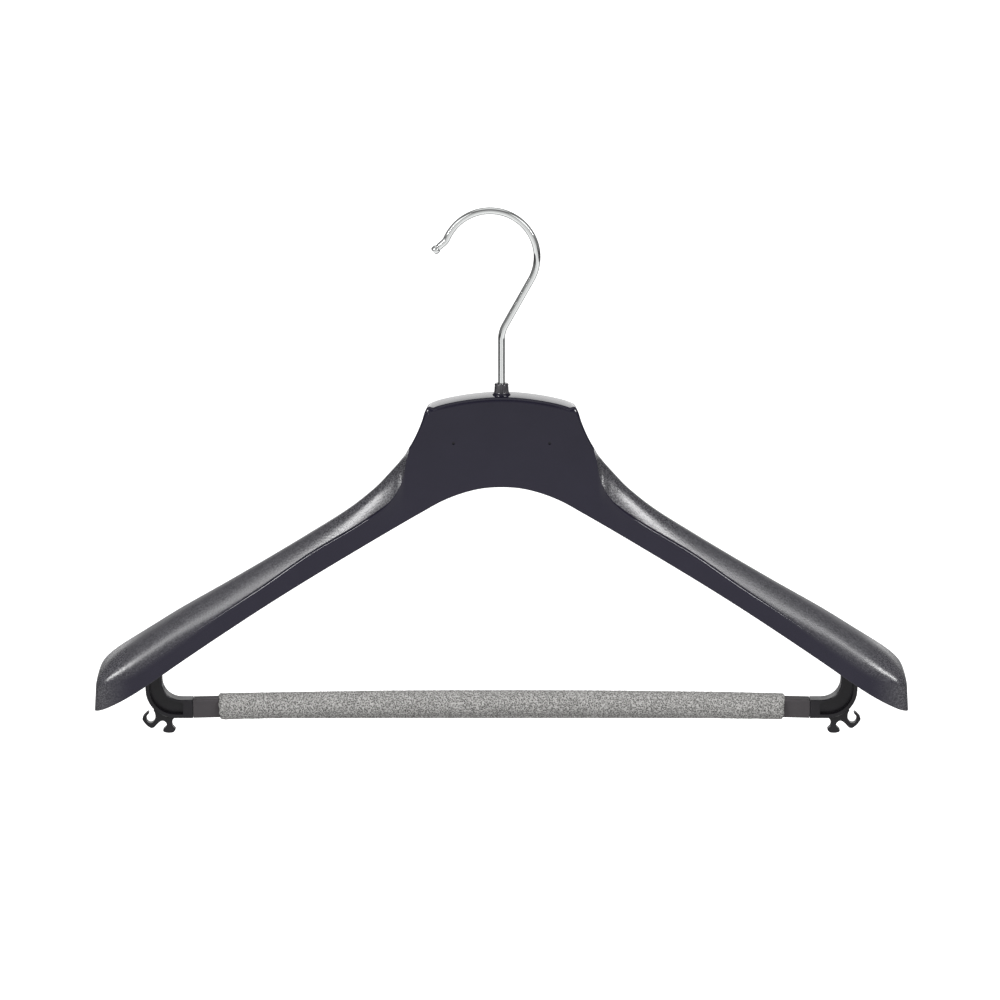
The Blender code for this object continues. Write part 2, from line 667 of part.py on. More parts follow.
def bar_tube():
    def outer(x):
        return rounded_section(x, bar_height(x), BAR_DEPTH, BAR_HEIGHT, BAR_CORNER)

    def inner(x):
        margin = 2 * BAR_WALL
        return rounded_section(x, bar_height(x), BAR_DEPTH - margin, BAR_HEIGHT - margin, BORE_CORNER)

    return finish(hollow("bar_tube", BAR_SEAM - GAP / 2, outer, inner))


def foam_sleeve():
    def outer(x):
        size = FOAM_DIAMETER
        return rounded_section(x, bar_height(x), size, size, size / 2, FOAM_CORNER_STEPS)

    def inner(x):
        margin = 2 * GAP
        return rounded_section(x, bar_height(x), BAR_DEPTH + margin, BAR_HEIGHT + margin, BAR_CORNER + GAP)

    return finish(hollow("foam_sleeve", BAR_SEAM - FOAM_SETBACK, outer, inner))


def main():
    clear_scene()
    # What turns under the hook hangs from an empty on the stem's axis
    swivel = bpy.data.objects.new("hook_swivel", None)
    bpy.context.scene.collection.objects.link(swivel)
    hook()
    hook_washer()
    bar_ends = bar_end("bar_end_left", -1), bar_end("bar_end_right", 1)
    for piece in (hanger_body(), *bar_ends, bar_tube(), foam_sleeve()):
        piece.parent = swivel


main()
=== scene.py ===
"""A suit hanger with its finishes, its foam sleeve and a white studio. Metres, +Z up, front
towards -Y. The origin is where the rail bears inside the hook, on the stem's axis."""

import math

import bmesh
import bpy
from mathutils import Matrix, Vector, noise


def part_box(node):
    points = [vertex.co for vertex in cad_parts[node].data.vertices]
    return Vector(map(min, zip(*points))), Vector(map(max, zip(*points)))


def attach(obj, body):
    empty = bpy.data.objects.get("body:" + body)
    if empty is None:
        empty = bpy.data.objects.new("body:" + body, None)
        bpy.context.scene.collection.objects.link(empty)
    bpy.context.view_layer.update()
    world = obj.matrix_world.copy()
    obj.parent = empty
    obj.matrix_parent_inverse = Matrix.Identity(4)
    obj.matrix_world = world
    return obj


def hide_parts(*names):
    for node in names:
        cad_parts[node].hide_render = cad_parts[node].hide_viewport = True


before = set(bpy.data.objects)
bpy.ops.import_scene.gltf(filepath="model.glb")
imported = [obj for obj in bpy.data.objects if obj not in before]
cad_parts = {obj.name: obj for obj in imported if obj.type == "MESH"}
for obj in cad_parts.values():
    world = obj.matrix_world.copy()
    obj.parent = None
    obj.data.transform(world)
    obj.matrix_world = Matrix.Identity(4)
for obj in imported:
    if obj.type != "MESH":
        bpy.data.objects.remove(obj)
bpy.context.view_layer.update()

# The photograph's camera, and the size that one of its pixels covers at the hanger's distance
CAMERA_DISTANCE = 2.2
CAMERA_ELEVATION = math.radians(15)
CAMERA_X = -0.000819
CAMERA_Z = 0.41171
PIXEL = 0.000546
PHOTO_WIDTH = 1000
SENSOR = 36

# The moulded body: half its width, the neck's depth, its walls and ribs, and the gap of a loose fit
HALF_WIDTH = 0.2225
NECK_DEPTH = 0.018
WALL = 0.002
RIB = 0.0016
GAP = 0.0003

# Outline curves of one arm, as shares of the half width: (distance from the middle, height)
UNDERSIDE_SHARES = (
    (0.0, -0.6665), (0.049, -0.670), (0.098, -0.6825), (0.147, -0.7025), (0.196, -0.7305),
    (0.245, -0.759), (0.343, -0.816), (0.490, -0.903), (0.589, -0.964), (0.688, -1.0275),
    (0.787, -1.092), (0.894, -1.162), (0.944, -1.189), (1.0, -1.2125),
)
RIDGE_SHARES = (
    (0.0, -0.442), (0.067, -0.4465), (0.135, -0.4585), (0.166, -0.468), (0.179, -0.4755),
    (0.187, -0.4925), (0.195, -0.518), (0.220, -0.5725), (0.247, -0.6075), (0.2735, -0.6375),
    (0.300, -0.6665), (0.319, -0.684), (0.368, -0.7235), (0.467, -0.788), (0.666, -0.908),
    (0.718, -0.938), (0.792, -0.981), (0.865, -1.0265), (0.915, -1.0575), (1.0, -1.110),
)
# The crease between the walls and the dome: over the neck, down its flank and out along the arm
NECK_CREASE_SHARES = ((0.0, -0.4525), (0.067, -0.4565), (0.135, -0.4685))
ARM_CREASE_SHARES = (
    (0.276, -0.7045), (0.332, -0.7465), (0.471, -0.8295), (0.582, -0.9055), (0.665, -0.9595),
    (0.749, -1.0135), (0.832, -1.0665), (0.899, -1.1085), (0.953, -1.1365), (1.0, -1.147),
)
CREASE_SHARES = NECK_CREASE_SHARES + (
    (0.166, -0.4775), (0.180, -0.4885), (0.188, -0.5075), (0.196, -0.5295), (0.221, -0.5825),
    (0.236, -0.6085), (0.244, -0.6365), (0.254, -0.6825),
) + ARM_CREASE_SHARES
# The same at the front, where the neck's plate stands before the shoulders and hides its flanks
FRONT_CREASE_SHARES = NECK_CREASE_SHARES + (
    (0.166, -0.4765), (0.176, -0.4815), (0.183, -0.489), (0.1885, -0.501), (0.1945, -0.5155),
    (0.2, -0.5275), (0.2065, -0.540), (0.2135, -0.5535), (0.2213, -0.568), (0.2255, -0.576),
    (0.2297, -0.588), (0.234, -0.6108), (0.2416, -0.6486), (0.249, -0.6663), (0.262, -0.688),
) + ARM_CREASE_SHARES

# How far the front and the back stand out, as shares of the half width: (from the middle, out)
FRONT_BULGE_SHARES = (
    (0.0, 0.0), (0.2, 0.0), (0.25, -0.0022), (0.332, -0.0105), (0.471, -0.0265), (0.582, -0.0405),
    (0.665, -0.052), (0.749, -0.065), (0.832, -0.081), (0.921, -0.099), (1.0, -0.108),
)
BACK_BULGE_SHARES = (
    (0.0, 0.0), (0.225, 0.0), (0.471, 0.009), (0.665, 0.0157), (0.921, 0.0225), (1.0, 0.0247),
)
# How far the top of the front wall stands out past its foot where the arm leaves the neck
FLARE_SHARES = ((0.0, 0.0), (0.234, 0.0), (0.256, -0.0058), (0.332, -0.003), (0.45, 0.0), (1.0, 0.0))
FLARE_POWER = 3

# Along the arm, from 0 to 1: how far the neck's squared top has turned into the dome
DOME_SHARES = ((0.0, 0.0), (0.224, 0.0), (0.236, 1.0), (1.0, 1.0))
# How far the ledge under the dome stands out
LEDGE_SHARES = ((0.0, 0.0), (0.236, 0.0), (0.3, 1.0), (0.56, 1.0), (0.8, 0.0), (1.0, 0.0))
# How upright the dome's foot is, instead of leaning
UPRIGHT_SHARES = ((0.0, 0.0), (0.45, 0.0), (0.68, 0.4), (0.84, 1.0), (1.0, 1.0))
# Where the neck's flanks stand higher, by how much in front, and how much of that the back loses
PLATE_LIFT_SHARES = ((0.0, 0.0), (0.164, 0.0), (0.188, 1.0), (0.2245, 1.0), (0.229, 0.0), (1.0, 0.0))
PLATE_LIFT = 0.0035
PLATE_FALL = 0.0039

# The dome's section: its fullness, the rise of a leaning foot, and the neck's rounded edges
DOME_POWER = 2.2
LEANING_FOOT_POWER = 2
FILLET_SHARE_OF_NECK = 0.28
# A cosine that counts as none
LEAST_COSINE = 0.001
# The ledge under the dome, with the riser that the dome starts from and the groove between them
LEDGE = 0.0016
LEDGE_LEAST = 0.00004
RISER = 0.0007
RISER_FOOT_SHARE = 0.6
GROOVE = 0.0009
GROOVE_INSET_SHARE = 0.8
EDGE_ROUND = 0.0005

# The arm's end: rounded in plan, drawn in a little at its top, and with the dome running down to it
END_RADIUS_SHARE = 0.036
END_RADIUS = END_RADIUS_SHARE * HALF_WIDTH
END_DRAFT = 0.001
END_DRAFT_POWER = 24
END_DROP_START_SHARE = 0.903
END_DROP_POWER = 3.6
END_DROP_ROUNDING = 3
END_RISE_SHARE = 0.06

# Steps of the skin and of the hollow inside it, with close sections where the neck turns down
DOME_STEPS = 40
ROUND_STEPS = 3
WALL_STEPS = 8
END_STEPS = 14
FINE_STATION = 0.0012
CLOSE_STATION = 0.00025
CLOSE_SHARES = (0.155, 0.275)
CAVITY_STATION = 0.006
CAVITY_CLOSE_STATION = CAVITY_STATION / 3
CAVITY_DOME_STEPS = 14
MOST_STEEP = 3.0
CUT_PAST = 0.006
CUTTER_REACH = 4 * NECK_DEPTH

# Collar round the hook's stem, above the neck: (radius, height)
COLLAR_PROFILE = (
    (0.0050, -0.0015), (0.0050, -0.0001), (0.0049, 0.0002), (0.0046, 0.0006), (0.0043, 0.0009),
    (0.00412, 0.0012), (0.0040, 0.0015), (0.00378, 0.0050), (0.00382, 0.0053), (0.00388, 0.0055),
    (0.00385, 0.0058), (0.0037, 0.0060), (0.0034, 0.0062),
)
# Boss, ribs, spines and pin marks
ROUND_SIDES = 64
BOSS_DIAMETER = 0.0088
BOSS_LENGTH = 0.024
NECK_RIB_SHARES = (0.063, 0.130)
ARM_RIB_SHARES = (0.215, 0.300, 0.385, 0.470, 0.555, 0.640, 0.720, 0.790, 0.945)
RIB_SETBACK = 0.002
SPINE_SHARES = (0.215, 0.830)
SPINE_SETBACK = 0.006
SPINE_STEPS = 8
PIN_MARK_SHARES = (0.117, -0.5555)
PIN_MARK_DIAMETER = 0.0016
PIN_MARK_DEPTH = 0.0012
# Sockets for the elbows' tangs, with windows for their barbs
ELBOW_INSET = 0.0266
ELBOW_LEG_OUT = HALF_WIDTH - ELBOW_INSET
ELBOW_LEG_WIDTH = 0.009
SOCKET_SETBACK = 0.004
TANG_REACH = 0.0176
BARB_HEIGHT = 0.003
BARB_DROP = 0.004
BARB_DEPTH = 0.004

# Wire of the hook: its crook, the bends at its stem and tip, and the angles between them
WIRE_DIAMETER = 0.0038
ARC_CENTRE_X = -0.0062
ARC_RADIUS = 0.0253
ARC_END_ANGLE = math.radians(156)
LEAN_ANGLE = math.radians(61)
STEM_BEND_RADIUS = 0.016
TIP_BEND_RADIUS = 0.007
TIP_ANGLE = math.radians(222)
TIP_LENGTH = 0.0075
WIRE_SIDES = 40
WIRE_ARC_STEP = math.radians(1)
# Bead at the tip, as shares of its length and diameter: (back from the tip, thickness)
BEAD_LENGTH = 0.0032
BEAD_DIAMETER = 0.0048
BEAD_SHAPE_SHARES = (
    (1.35, 0.79), (1.25, 0.74), (1.1, 0.72), (1.0, 0.76), (0.93, 0.86), (0.84, 0.95), (0.7, 1.0),
    (0.4, 1.0), (0.24, 0.97), (0.1, 0.88), (0.03, 0.76), (0.0, 0.6),
)
# Upset head and washer at the stem's lower end
HEAD_DIAMETER = 0.0064
HEAD_THICKNESS = 0.0016
WASHER_THICKNESS = 0.0012

# Trouser bar: its section, and how far it curves down from its middle to its seam with the elbow
BAR_HEIGHT = 0.0106
BAR_DEPTH = 0.008
BAR_CAMBER = 0.0023
BAR_SEAM = 0.1699
# Foam sleeve: its cells, its slow waves, and its slanted, ragged and rounded ends
FOAM_FIT = 0.0003
FOAM_RINGS = 620
FOAM_SIDES = 72
FOAM_SEED = Vector((3.1, 7.7, 1.9))
FOAM_CELL = 0.0011
FOAM_CELL_DEPTH = 0.00022
FOAM_WAVE = 0.045
FOAM_WAVE_ROUND = FOAM_WAVE / 3
FOAM_WAVE_DEPTH = 0.0003
FOAM_END_SHARE = 0.9
FOAM_END_SLANT = 0.0011
FOAM_END_RAGGED = 0.0007
FOAM_END_LUMPS = 2.3
FOAM_END_ROUND = 0.0012

# Edges above this angle stay sharp on the smooth pieces, and on the others are rounded by this much
SHARP_ANGLE = math.radians(38)
WASHER_EDGE = 0.0001
BAR_EDGE = 0.0004
EDGE_SEGMENTS = 2

# Grain of the shoulders, by shares of the half width: where it starts beside the neck
GRAIN_START_SHARES = (0.226, 0.232)
GRAIN_EDGE = 0.0005
# Where it comes to reach lower on the walls, and where it comes to cover the arm's end
GRAIN_DROP_SHARES = (0.6, 0.85)
GRAIN_END_SHARES = (0.9, 0.99)
GRAIN_END_DROP = 0.004
# Where it turns duller, and where it turns back
DULL_START_SHARES = (0.36, 0.6)
DULL_END_SHARES = (0.87, 0.94)
DULL_ROUGHNESS = 0.17
# Where the collar's lighter colour with painted reflection streaks starts
COLLAR_FOOT = -0.0975
# The heights that a curve in a material can hold, as shares: its lowest and its span
CURVE_LOW_SHARE = -1.2
CURVE_SPAN_SHARE = 0.8

# Linear colours of the materials, from their darker to their lighter places
BODY_COLOURS = ((0.0062, 0.0052, 0.0132, 1), (0.0078, 0.0066, 0.0154, 1))
# Grain speckle on the shoulders, lighter than the walls: real grain, with painted sheen in its lighter tone
GRAIN_AND_SHEEN_COLOURS = ((0.016, 0.0155, 0.019, 1), (0.062, 0.061, 0.068, 1))
# The collar's lighter colour and its upright streaks are painted reflections
COLLAR_REFLECTION_COLOURS = ((0.012, 0.011, 0.015, 1), (0.07, 0.068, 0.074, 1))
CHROME_COLOURS = ((0.75, 0.765, 0.76, 1), (0.81, 0.825, 0.82, 1))
ZINC_COLOURS = ((0.42, 0.43, 0.45, 1), (0.66, 0.66, 0.67, 1))
ELBOW_COLOURS = ((0.004, 0.0033, 0.0052, 1), (0.0075, 0.0065, 0.0088, 1))
TUBE_COLOURS = ((0.030, 0.0272, 0.0292, 1), (0.041, 0.0372, 0.040, 1))
FOAM_COLOURS = ((0.26, 0.257, 0.25, 1), (0.31, 0.306, 0.298, 1))
# Dark of the foam's pores, painted shade
FOAM_PORE_SHADE_COLOUR = (0.035, 0.034, 0.032, 1)
FLOOR_COLOURS = ((0.84, 0.84, 0.84, 1), (0.86, 0.86, 0.86, 1))
FLOOR_DARK_COLOUR = (0.08, 0.08, 0.08, 1)
CARD_COLOUR = (0.5, 0.5, 0.5, 1)
WHITE = (1, 1, 1, 1)
# Their roughness, from the smoother to the rougher places
BODY_ROUGHNESS = (0.13, 0.2)
GRAIN_ROUGHNESS = (0.22, 0.32)
CHROME_ROUGHNESS = (0.05, 0.1)
ZINC_ROUGHNESS = (0.24, 0.45)
ELBOW_ROUGHNESS = (0.28, 0.4)
TUBE_ROUGHNESS = (0.52, 0.64)
# The range that holds most values of a noise, and the ranges over which some patterns change
MOST_NOISE = (0.3, 0.7)
SMUDGE_RANGE = (0.25, 0.75)
SPECKLE_RANGE = (0.35, 0.7)
REFLECTION_STREAK_RANGE = (0.35, 0.65)
FOAM_RANGE = (0.44, 0.82)
# How much the pits add to the grain's relief, and cells and fine noise to the foam's speckle and painted
# pore shade
PIT_WEIGHT = 0.6
CELL_WEIGHT = 0.6
FINE_WEIGHT = 0.7
# From one turned line on the washer to the next
WASHER_LINE = 0.0002

# The studio in reflections, by the direction looked in: dark, with a bright top, backdrop and front
DARK_GLOW = 0.2
TOP_GLOW = 0.9
TOP_EDGE = (0.84, 0.96)
LOW_EDGE = (0.28, 0.48)
BACKDROP_GLOW = 1.6
BACKDROP_EDGE = (0.84, 0.97)
FRONT_GLOW = 0.3
FRONT_EDGE = (-0.6, -0.85)
# The soft light on matt surfaces, from the horizon to straight above
SKY_EDGE = (0.1, 1.0)
SKY_GLOW = (0.35, 1.05)

# Floor, and how it glows to the camera, in matt bounces and, more to the sides, in reflections
FLOOR_HEIGHT = -0.95
FLOOR_HALF = 14.0
FLOOR_ON_SCREEN = 0.8
FLOOR_BOUNCED = 0.5
FLOOR_MIRRORED = (0.12, 0.35)
FLOOR_MIRRORED_EDGE = (0.6, 1.5)
# Where the floor is dark in reflections: far to the sides, and less far behind the hanger
DARK_SIDES = (2.8, 3.3)
SIDES_BEHIND = 0.3
# Behind the hanger, until it turns pale again
DARK_BEHIND = (0.15, 0.5)
PALE_BEHIND = (2.3, 3.0)
# Under the hanger, by the distance from its hook
DARK_UNDER = (1.1, 0.5)
DARK_SHARE = 0.85

# Lamp on each side in front: its place on the right, the point that it faces, its size and power
LAMP_PLACE = (0.47, -0.45, 0.25)
LAMP_TARGET = (0.1, 0, -0.15)
LAMP_SIZE = (0.3, 0.2)
LAMP_POWER = 6
# A card before each lamp keeps its full glare off the hook: its upright edges as (across, depth)
CARD_INNER = (0.14, -0.28)
CARD_OUTER = (0.34, -0.12)
CARD_LOW = 0.068
CARD_HIGH = 0.26
CARD_GLOW = 0.85


class Tree:
    """A material's or a world's nodes."""

    def __init__(self, tree):
        self.tree = tree

    def add(self, kind, settings=None, **inputs):
        """A node with its settings and its inputs: i and a number is an input's place in the list,
        any other word its name, and each gets a value or another node's output."""
        made = self.tree.nodes.new("ShaderNode" + kind)
        for name, value in (settings or {}).items():
            setattr(made, name, value)
        for name, value in inputs.items():
            key = int(name[1:]) if name[0] == "i" and name[1:].isdigit() else name.replace("_", " ")
            self.put(made.inputs[key], value)
        return made

    def put(self, socket, value):
        if isinstance(value, bpy.types.NodeSocket):
            self.tree.links.new(value, socket)
        else:
            socket.default_value = value

    def maths(self, operation, first, second=0.0, clamp=False):
        made = self.add("Math", {"operation": operation, "use_clamp": clamp}, i0=first, i1=second)
        return made.outputs[0]

    def ramp(self, value, low, high, to_low=0.0, to_high=1.0, smooth=False):
        """The value carried from one range to another and held at its ends."""
        settings = {"interpolation_type": "SMOOTHSTEP" if smooth else "LINEAR"}
        made = self.add("MapRange", settings, i0=value, i1=low, i2=high, i3=to_low, i4=to_high)
        return made.outputs[0]

    def noise(self, place, size, detail=2.0, roughness=0.5, stretch=(1, 1, 1)):
        """Noise from 0 to 1 whose lumps are about this size, in metres."""
        scaled = self.add("VectorMath", {"operation": "MULTIPLY"}, i0=place, i1=stretch).outputs[0]
        made = self.add("TexNoise", Vector=scaled, Scale=1 / size, Detail=detail, Roughness=roughness)
        return made.outputs[0]

    def cells(self, place, size):
        """The distance to the middle of the nearest of many cells of about this size."""
        return self.add("TexVoronoi", Vector=place, Scale=1 / size).outputs["Distance"]

    def mix(self, factor, first, second):
        made = self.add("Mix", {"data_type": "RGBA"}, i0=factor, i6=first, i7=second)
        return made.outputs[2]

    def bump(self, height, distance, strength=1.0, before=None):
        """The surface's direction with this relief, on top of the relief before it."""
        made = self.add("Bump", Height=height, Distance=distance, Strength=strength)
        if before is not None:
            self.put(made.inputs["Normal"], before)
        return made.outputs[0]

    def object_place(self):
        return self.add("TexCoord").outputs["Object"]

    def parts(self, vector):
        """The X, Y and Z of a vector."""
        made = self.add("SeparateXYZ", Vector=vector)
        return made.outputs["X"], made.outputs["Y"], made.outputs["Z"]

    def length(self, vector):
        return self.add("VectorMath", {"operation": "LENGTH"}, i0=vector).outputs["Value"]

    def curve(self, share, points):
        """The height at this share of the half width on a curve through the share points."""
        made = self.add("FloatCurve", Value=share)
        knots = made.mapping.curves[0].points
        fitted = [(a, (b - CURVE_LOW_SHARE) / CURVE_SPAN_SHARE) for a, b in points]
        knots[0].location, knots[1].location = fitted[0], fitted[-1]
        for knot in fitted[1:-1]:
            knots.new(*knot)
        made.mapping.update()
        scaled = self.maths("MULTIPLY", made.outputs[0], CURVE_SPAN_SHARE * HALF_WIDTH)
        return self.maths("ADD", scaled, CURVE_LOW_SHARE * HALF_WIDTH)


def new_material(name):
    """A material with an empty Principled shader: (material, its nodes, its shader's inputs)."""
    material = bpy.data.materials.new(name)
    material.use_nodes = True
    shader = material.node_tree.nodes["Principled BSDF"]
    return material, Tree(material.node_tree), shader.inputs


def grained(tree, share, z):
    """1 on the grain of the shoulders and 0 on the polished walls and neck."""
    above = tree.maths("SUBTRACT", z, tree.curve(share, FRONT_CREASE_SHARES))
    at_end = tree.ramp(share, *GRAIN_DROP_SHARES, smooth=True)
    lowered = tree.maths("ADD", above, tree.maths("MULTIPLY", at_end, GRAIN_END_DROP))
    edge = tree.maths("ADD", GRAIN_EDGE, tree.maths("MULTIPLY", at_end, 2 * GRAIN_END_DROP))
    on_dome = tree.ramp(lowered, 0.0, edge, smooth=True)
    on_end = tree.ramp(share, *GRAIN_END_SHARES, smooth=True)
    on_arm = tree.ramp(share, *GRAIN_START_SHARES, smooth=True)
    return tree.maths("MULTIPLY", tree.maths("MAXIMUM", on_dome, on_end), on_arm)


def body_plastic():
    """Dark moulded plastic: glossy front and back walls, fine spark grain on the shoulders, its lighter
    colour there partly painted sheen.
    """
    material, tree, inputs = new_material("body_plastic")
    place = tree.object_place()
    x, _, z = tree.parts(place)
    share = tree.maths("DIVIDE", tree.maths("ABSOLUTE", x), HALF_WIDTH)
    in_grain = grained(tree, share, z)

    smudges = tree.noise(place, size=0.02, detail=4.0, roughness=0.6)
    grain = tree.noise(place, size=0.0008, roughness=0.6)
    pits = tree.cells(place, size=0.0011)
    flow = tree.noise(place, size=0.03, detail=1.0)
    # Upright streaks on the collar, painted as reflections
    reflection_streaks = tree.noise(place, size=0.0012, stretch=(1, 1, 0.05))

    plain = tree.mix(tree.ramp(smudges, *MOST_NOISE), *BODY_COLOURS)
    # Speckled grain colour, lightened as painted sheen of the satin shoulders
    speckle_and_sheen = tree.mix(tree.ramp(grain, *SPECKLE_RANGE), *GRAIN_AND_SHEEN_COLOURS)
    painted_reflections = tree.mix(tree.ramp(reflection_streaks, *REFLECTION_STREAK_RANGE), *COLLAR_REFLECTION_COLOURS)
    on_collar = tree.ramp(z, COLLAR_FOOT, COLLAR_FOOT + GRAIN_EDGE)
    skin = tree.mix(on_collar, plain, painted_reflections)
    tree.put(inputs["Base Color"], tree.mix(in_grain, skin, speckle_and_sheen))

    smooth_rough = tree.ramp(smudges, *SMUDGE_RANGE, *BODY_ROUGHNESS)
    grain_rough = tree.ramp(grain, *MOST_NOISE, *GRAIN_ROUGHNESS)
    dull_start = tree.ramp(share, *DULL_START_SHARES, smooth=True)
    dull_end = tree.ramp(share, *DULL_END_SHARES, smooth=True)
    dull = tree.maths("MULTIPLY", tree.maths("SUBTRACT", dull_start, dull_end), DULL_ROUGHNESS)
    rough = tree.add("Mix", i0=in_grain, i2=smooth_rough, i3=tree.maths("ADD", grain_rough, dull))
    tree.put(inputs["Roughness"], rough.outputs[0])
    inputs["IOR"].default_value = 1.45

    bumps = tree.maths("ADD", grain, tree.maths("MULTIPLY", pits, PIT_WEIGHT))
    waves = tree.bump(flow, distance=0.0004, strength=0.25)
    in_relief = tree.bump(tree.maths("MULTIPLY", bumps, in_grain), distance=0.00006, before=waves)
    tree.put(inputs["Normal"], in_relief)
    return material


def hook_chrome():
    """Bright plated wire with a little haze, not quite even under the plating."""
    material, tree, inputs = new_material("hook_chrome")
    place = tree.object_place()
    haze = tree.noise(place, size=0.004, detail=3.0, roughness=0.6)
    uneven = tree.noise(place, size=0.008)
    tree.put(inputs["Base Color"], tree.mix(haze, *CHROME_COLOURS))
    tree.put(inputs["Roughness"], tree.ramp(haze, *MOST_NOISE, *CHROME_ROUGHNESS))
    tree.put(inputs["Normal"], tree.bump(uneven, distance=0.00005, strength=0.3))
    inputs["Metallic"].default_value = 1.0
    return material


def washer_steel():
    """Zinc plated washer, turned on its faces and dulled in places."""
    material, tree, inputs = new_material("washer_steel")
    place = tree.object_place()
    x, y, _ = tree.parts(place)
    radius = tree.length(tree.add("CombineXYZ", X=x, Y=y).outputs[0])
    rings = tree.maths("SINE", tree.maths("MULTIPLY", radius, 2 * math.pi / WASHER_LINE))
    dull = tree.noise(place, size=0.002, detail=4.0, roughness=0.7)
    tree.put(inputs["Base Color"], tree.mix(dull, *ZINC_COLOURS))
    tree.put(inputs["Roughness"], tree.ramp(dull, *MOST_NOISE, *ZINC_ROUGHNESS))
    tree.put(inputs["Normal"], tree.bump(rings, distance=0.00001, strength=0.5))
    inputs["Metallic"].default_value = 1.0
    return material


def elbow_plastic():
    """Satin moulded plastic with a slightly scuffed skin."""
    material, tree, inputs = new_material("bar_end_plastic")
    place = tree.object_place()
    scuffs = tree.noise(place, size=0.006, detail=5.0, roughness=0.7)
    skin = tree.noise(place, size=0.0005)
    tree.put(inputs["Base Color"], tree.mix(scuffs, *ELBOW_COLOURS))
    tree.put(inputs["Roughness"], tree.ramp(scuffs, *MOST_NOISE, *ELBOW_ROUGHNESS))
    tree.put(inputs["Normal"], tree.bump(skin, distance=0.00006, strength=0.4))
    inputs["Specular IOR Level"].default_value = 0.35
    return material


def tube_plastic():
    """Extruded satin plastic, with fine lines along the bar."""
    material, tree, inputs = new_material("bar_plastic")
    place = tree.object_place()
    lines = tree.noise(place, size=0.0005, detail=3.0, roughness=0.6, stretch=(0.02, 1, 1))
    dust = tree.noise(place, size=0.004, detail=5.0, roughness=0.7)
    tree.put(inputs["Base Color"], tree.mix(dust, *TUBE_COLOURS))
    tree.put(inputs["Roughness"], tree.ramp(lines, *MOST_NOISE, *TUBE_ROUGHNESS))
    tree.put(inputs["Normal"], tree.bump(lines, distance=0.00008, strength=0.5))
    inputs["Specular IOR Level"].default_value = 0.2
    return material


def foam_stuff():
    """Open-cell foam: speckled light and dark grey, its pores darkened as painted shade, fully matt."""
    material, tree, inputs = new_material("foam")
    place = tree.object_place()
    # Cells give the pores, darkened below as painted shade, and fine noise gives random speckle
    cells = tree.cells(place, size=0.0008)
    fine = tree.noise(place, size=0.0005, roughness=0.7)
    broad = tree.noise(place, size=0.012, detail=3.0, roughness=0.6)
    weighed_cells = tree.maths("MULTIPLY", cells, CELL_WEIGHT)
    speckle_and_pore_shade = tree.maths("ADD", weighed_cells, tree.maths("MULTIPLY", fine, FINE_WEIGHT))
    light = tree.mix(broad, *FOAM_COLOURS)
    tree.put(inputs["Base Color"], tree.mix(tree.ramp(speckle_and_pore_shade, *FOAM_RANGE), FOAM_PORE_SHADE_COLOUR, light))
    tree.put(inputs["Normal"], tree.bump(speckle_and_pore_shade, distance=0.0004, strength=0.9))
    inputs["Roughness"].default_value = 0.95
    inputs["Specular IOR Level"].default_value = 0.15
    return material


def curve_at(points, share):
    """The height of a smooth curve through the share points, which never overshoots them."""
    xs = [point[0] for point in points]
    ys = [point[1] for point in points]
    share = min(max(share, xs[0]), xs[-1])
    slopes = [(b - a) / (d - c) for a, b, c, d in zip(ys, ys[1:], xs, xs[1:])]
    tangents = [0.0]
    for before, after in zip(slopes, slopes[1:]):
        most = 3 * min(abs(before), abs(after)) if before * after > 0 else 0.0
        tangents.append(math.copysign(min(abs(before + after) / 2, most), before))
    tangents.append(slopes[-1])
    k = max(i for i in range(len(slopes)) if xs[i] <= share)
    span = xs[k + 1] - xs[k]
    t = (share - xs[k]) / span
    start = ys[k] * (1 + 2 * t) * (1 - t) ** 2 + tangents[k] * span * t * (1 - t) ** 2
    end = ys[k + 1] * t * t * (3 - 2 * t) + tangents[k + 1] * span * t * t * (t - 1)
    return start + end


def height_at(shares, x):
    """The value of an outline curve at x, in metres and alike on both sides."""
    return HALF_WIDTH * curve_at(shares, abs(x) / HALF_WIDTH)


def steepness(shares, x):
    """How much thicker a wall measured upwards is than the same wall measured square to the curve."""
    step = WALL / 4
    slope = (height_at(shares, abs(x) + step) - height_at(shares, abs(x) - step)) / (2 * step)
    return min(math.hypot(1, slope), MOST_STEEP)


def plan_front(x, rise_share=1.0):
    """The front wall, at this share of its height."""
    flare = height_at(FLARE_SHARES, x) * rise_share**FLARE_POWER
    return -NECK_DEPTH / 2 + height_at(FRONT_BULGE_SHARES, x) + flare


def plan_back(x):
    return NECK_DEPTH / 2 + height_at(BACK_BULGE_SHARES, x)


def plan_middle(x):
    return (plan_front(x) + plan_back(x)) / 2


def half_depth(x):
    """Half the depth from front to back, drawn in at the rounded corner of the arm's end."""
    past = max(0.0, abs(x) - (HALF_WIDTH - END_RADIUS))
    corner_loss = END_RADIUS - math.sqrt(max(0.0, END_RADIUS**2 - past**2))
    return (plan_back(x) - plan_front(x)) / 2 - corner_loss


def dome_rise(x):
    """The ridge's height over the crease, which runs down to a little at the arm's end."""
    rise = height_at(RIDGE_SHARES, x) - height_at(CREASE_SHARES, x)
    past = max(0.0, abs(x) / HALF_WIDTH - END_DROP_START_SHARE) / (1 - END_DROP_START_SHARE)
    return rise * max(END_RISE_SHARE, (1 - past**END_DROP_POWER) ** (1 / END_DROP_ROUNDING))


def dome_point(turn, x, half, rise, upright):
    """A point of the dome's section, from its front foot at 0 to its back foot at half a turn."""
    blend = curve_at(DOME_SHARES, abs(x) / HALF_WIDTH)
    fillet = FILLET_SHARE_OF_NECK * NECK_DEPTH / 2
    side = -1 if turn < math.pi / 2 else 1
    away = abs(math.cos(turn))
    rounded = half - fillet + fillet * away if away > LEAST_COSINE else 0.0
    domed = half * away ** (2 / DOME_POWER)
    y = side * (rounded * (1 - blend) + domed * blend)
    foot_power = LEANING_FOOT_POWER - upright
    z = rise * (math.sin(turn) * (1 - blend) + math.sin(turn) ** foot_power * blend)
    return y, z


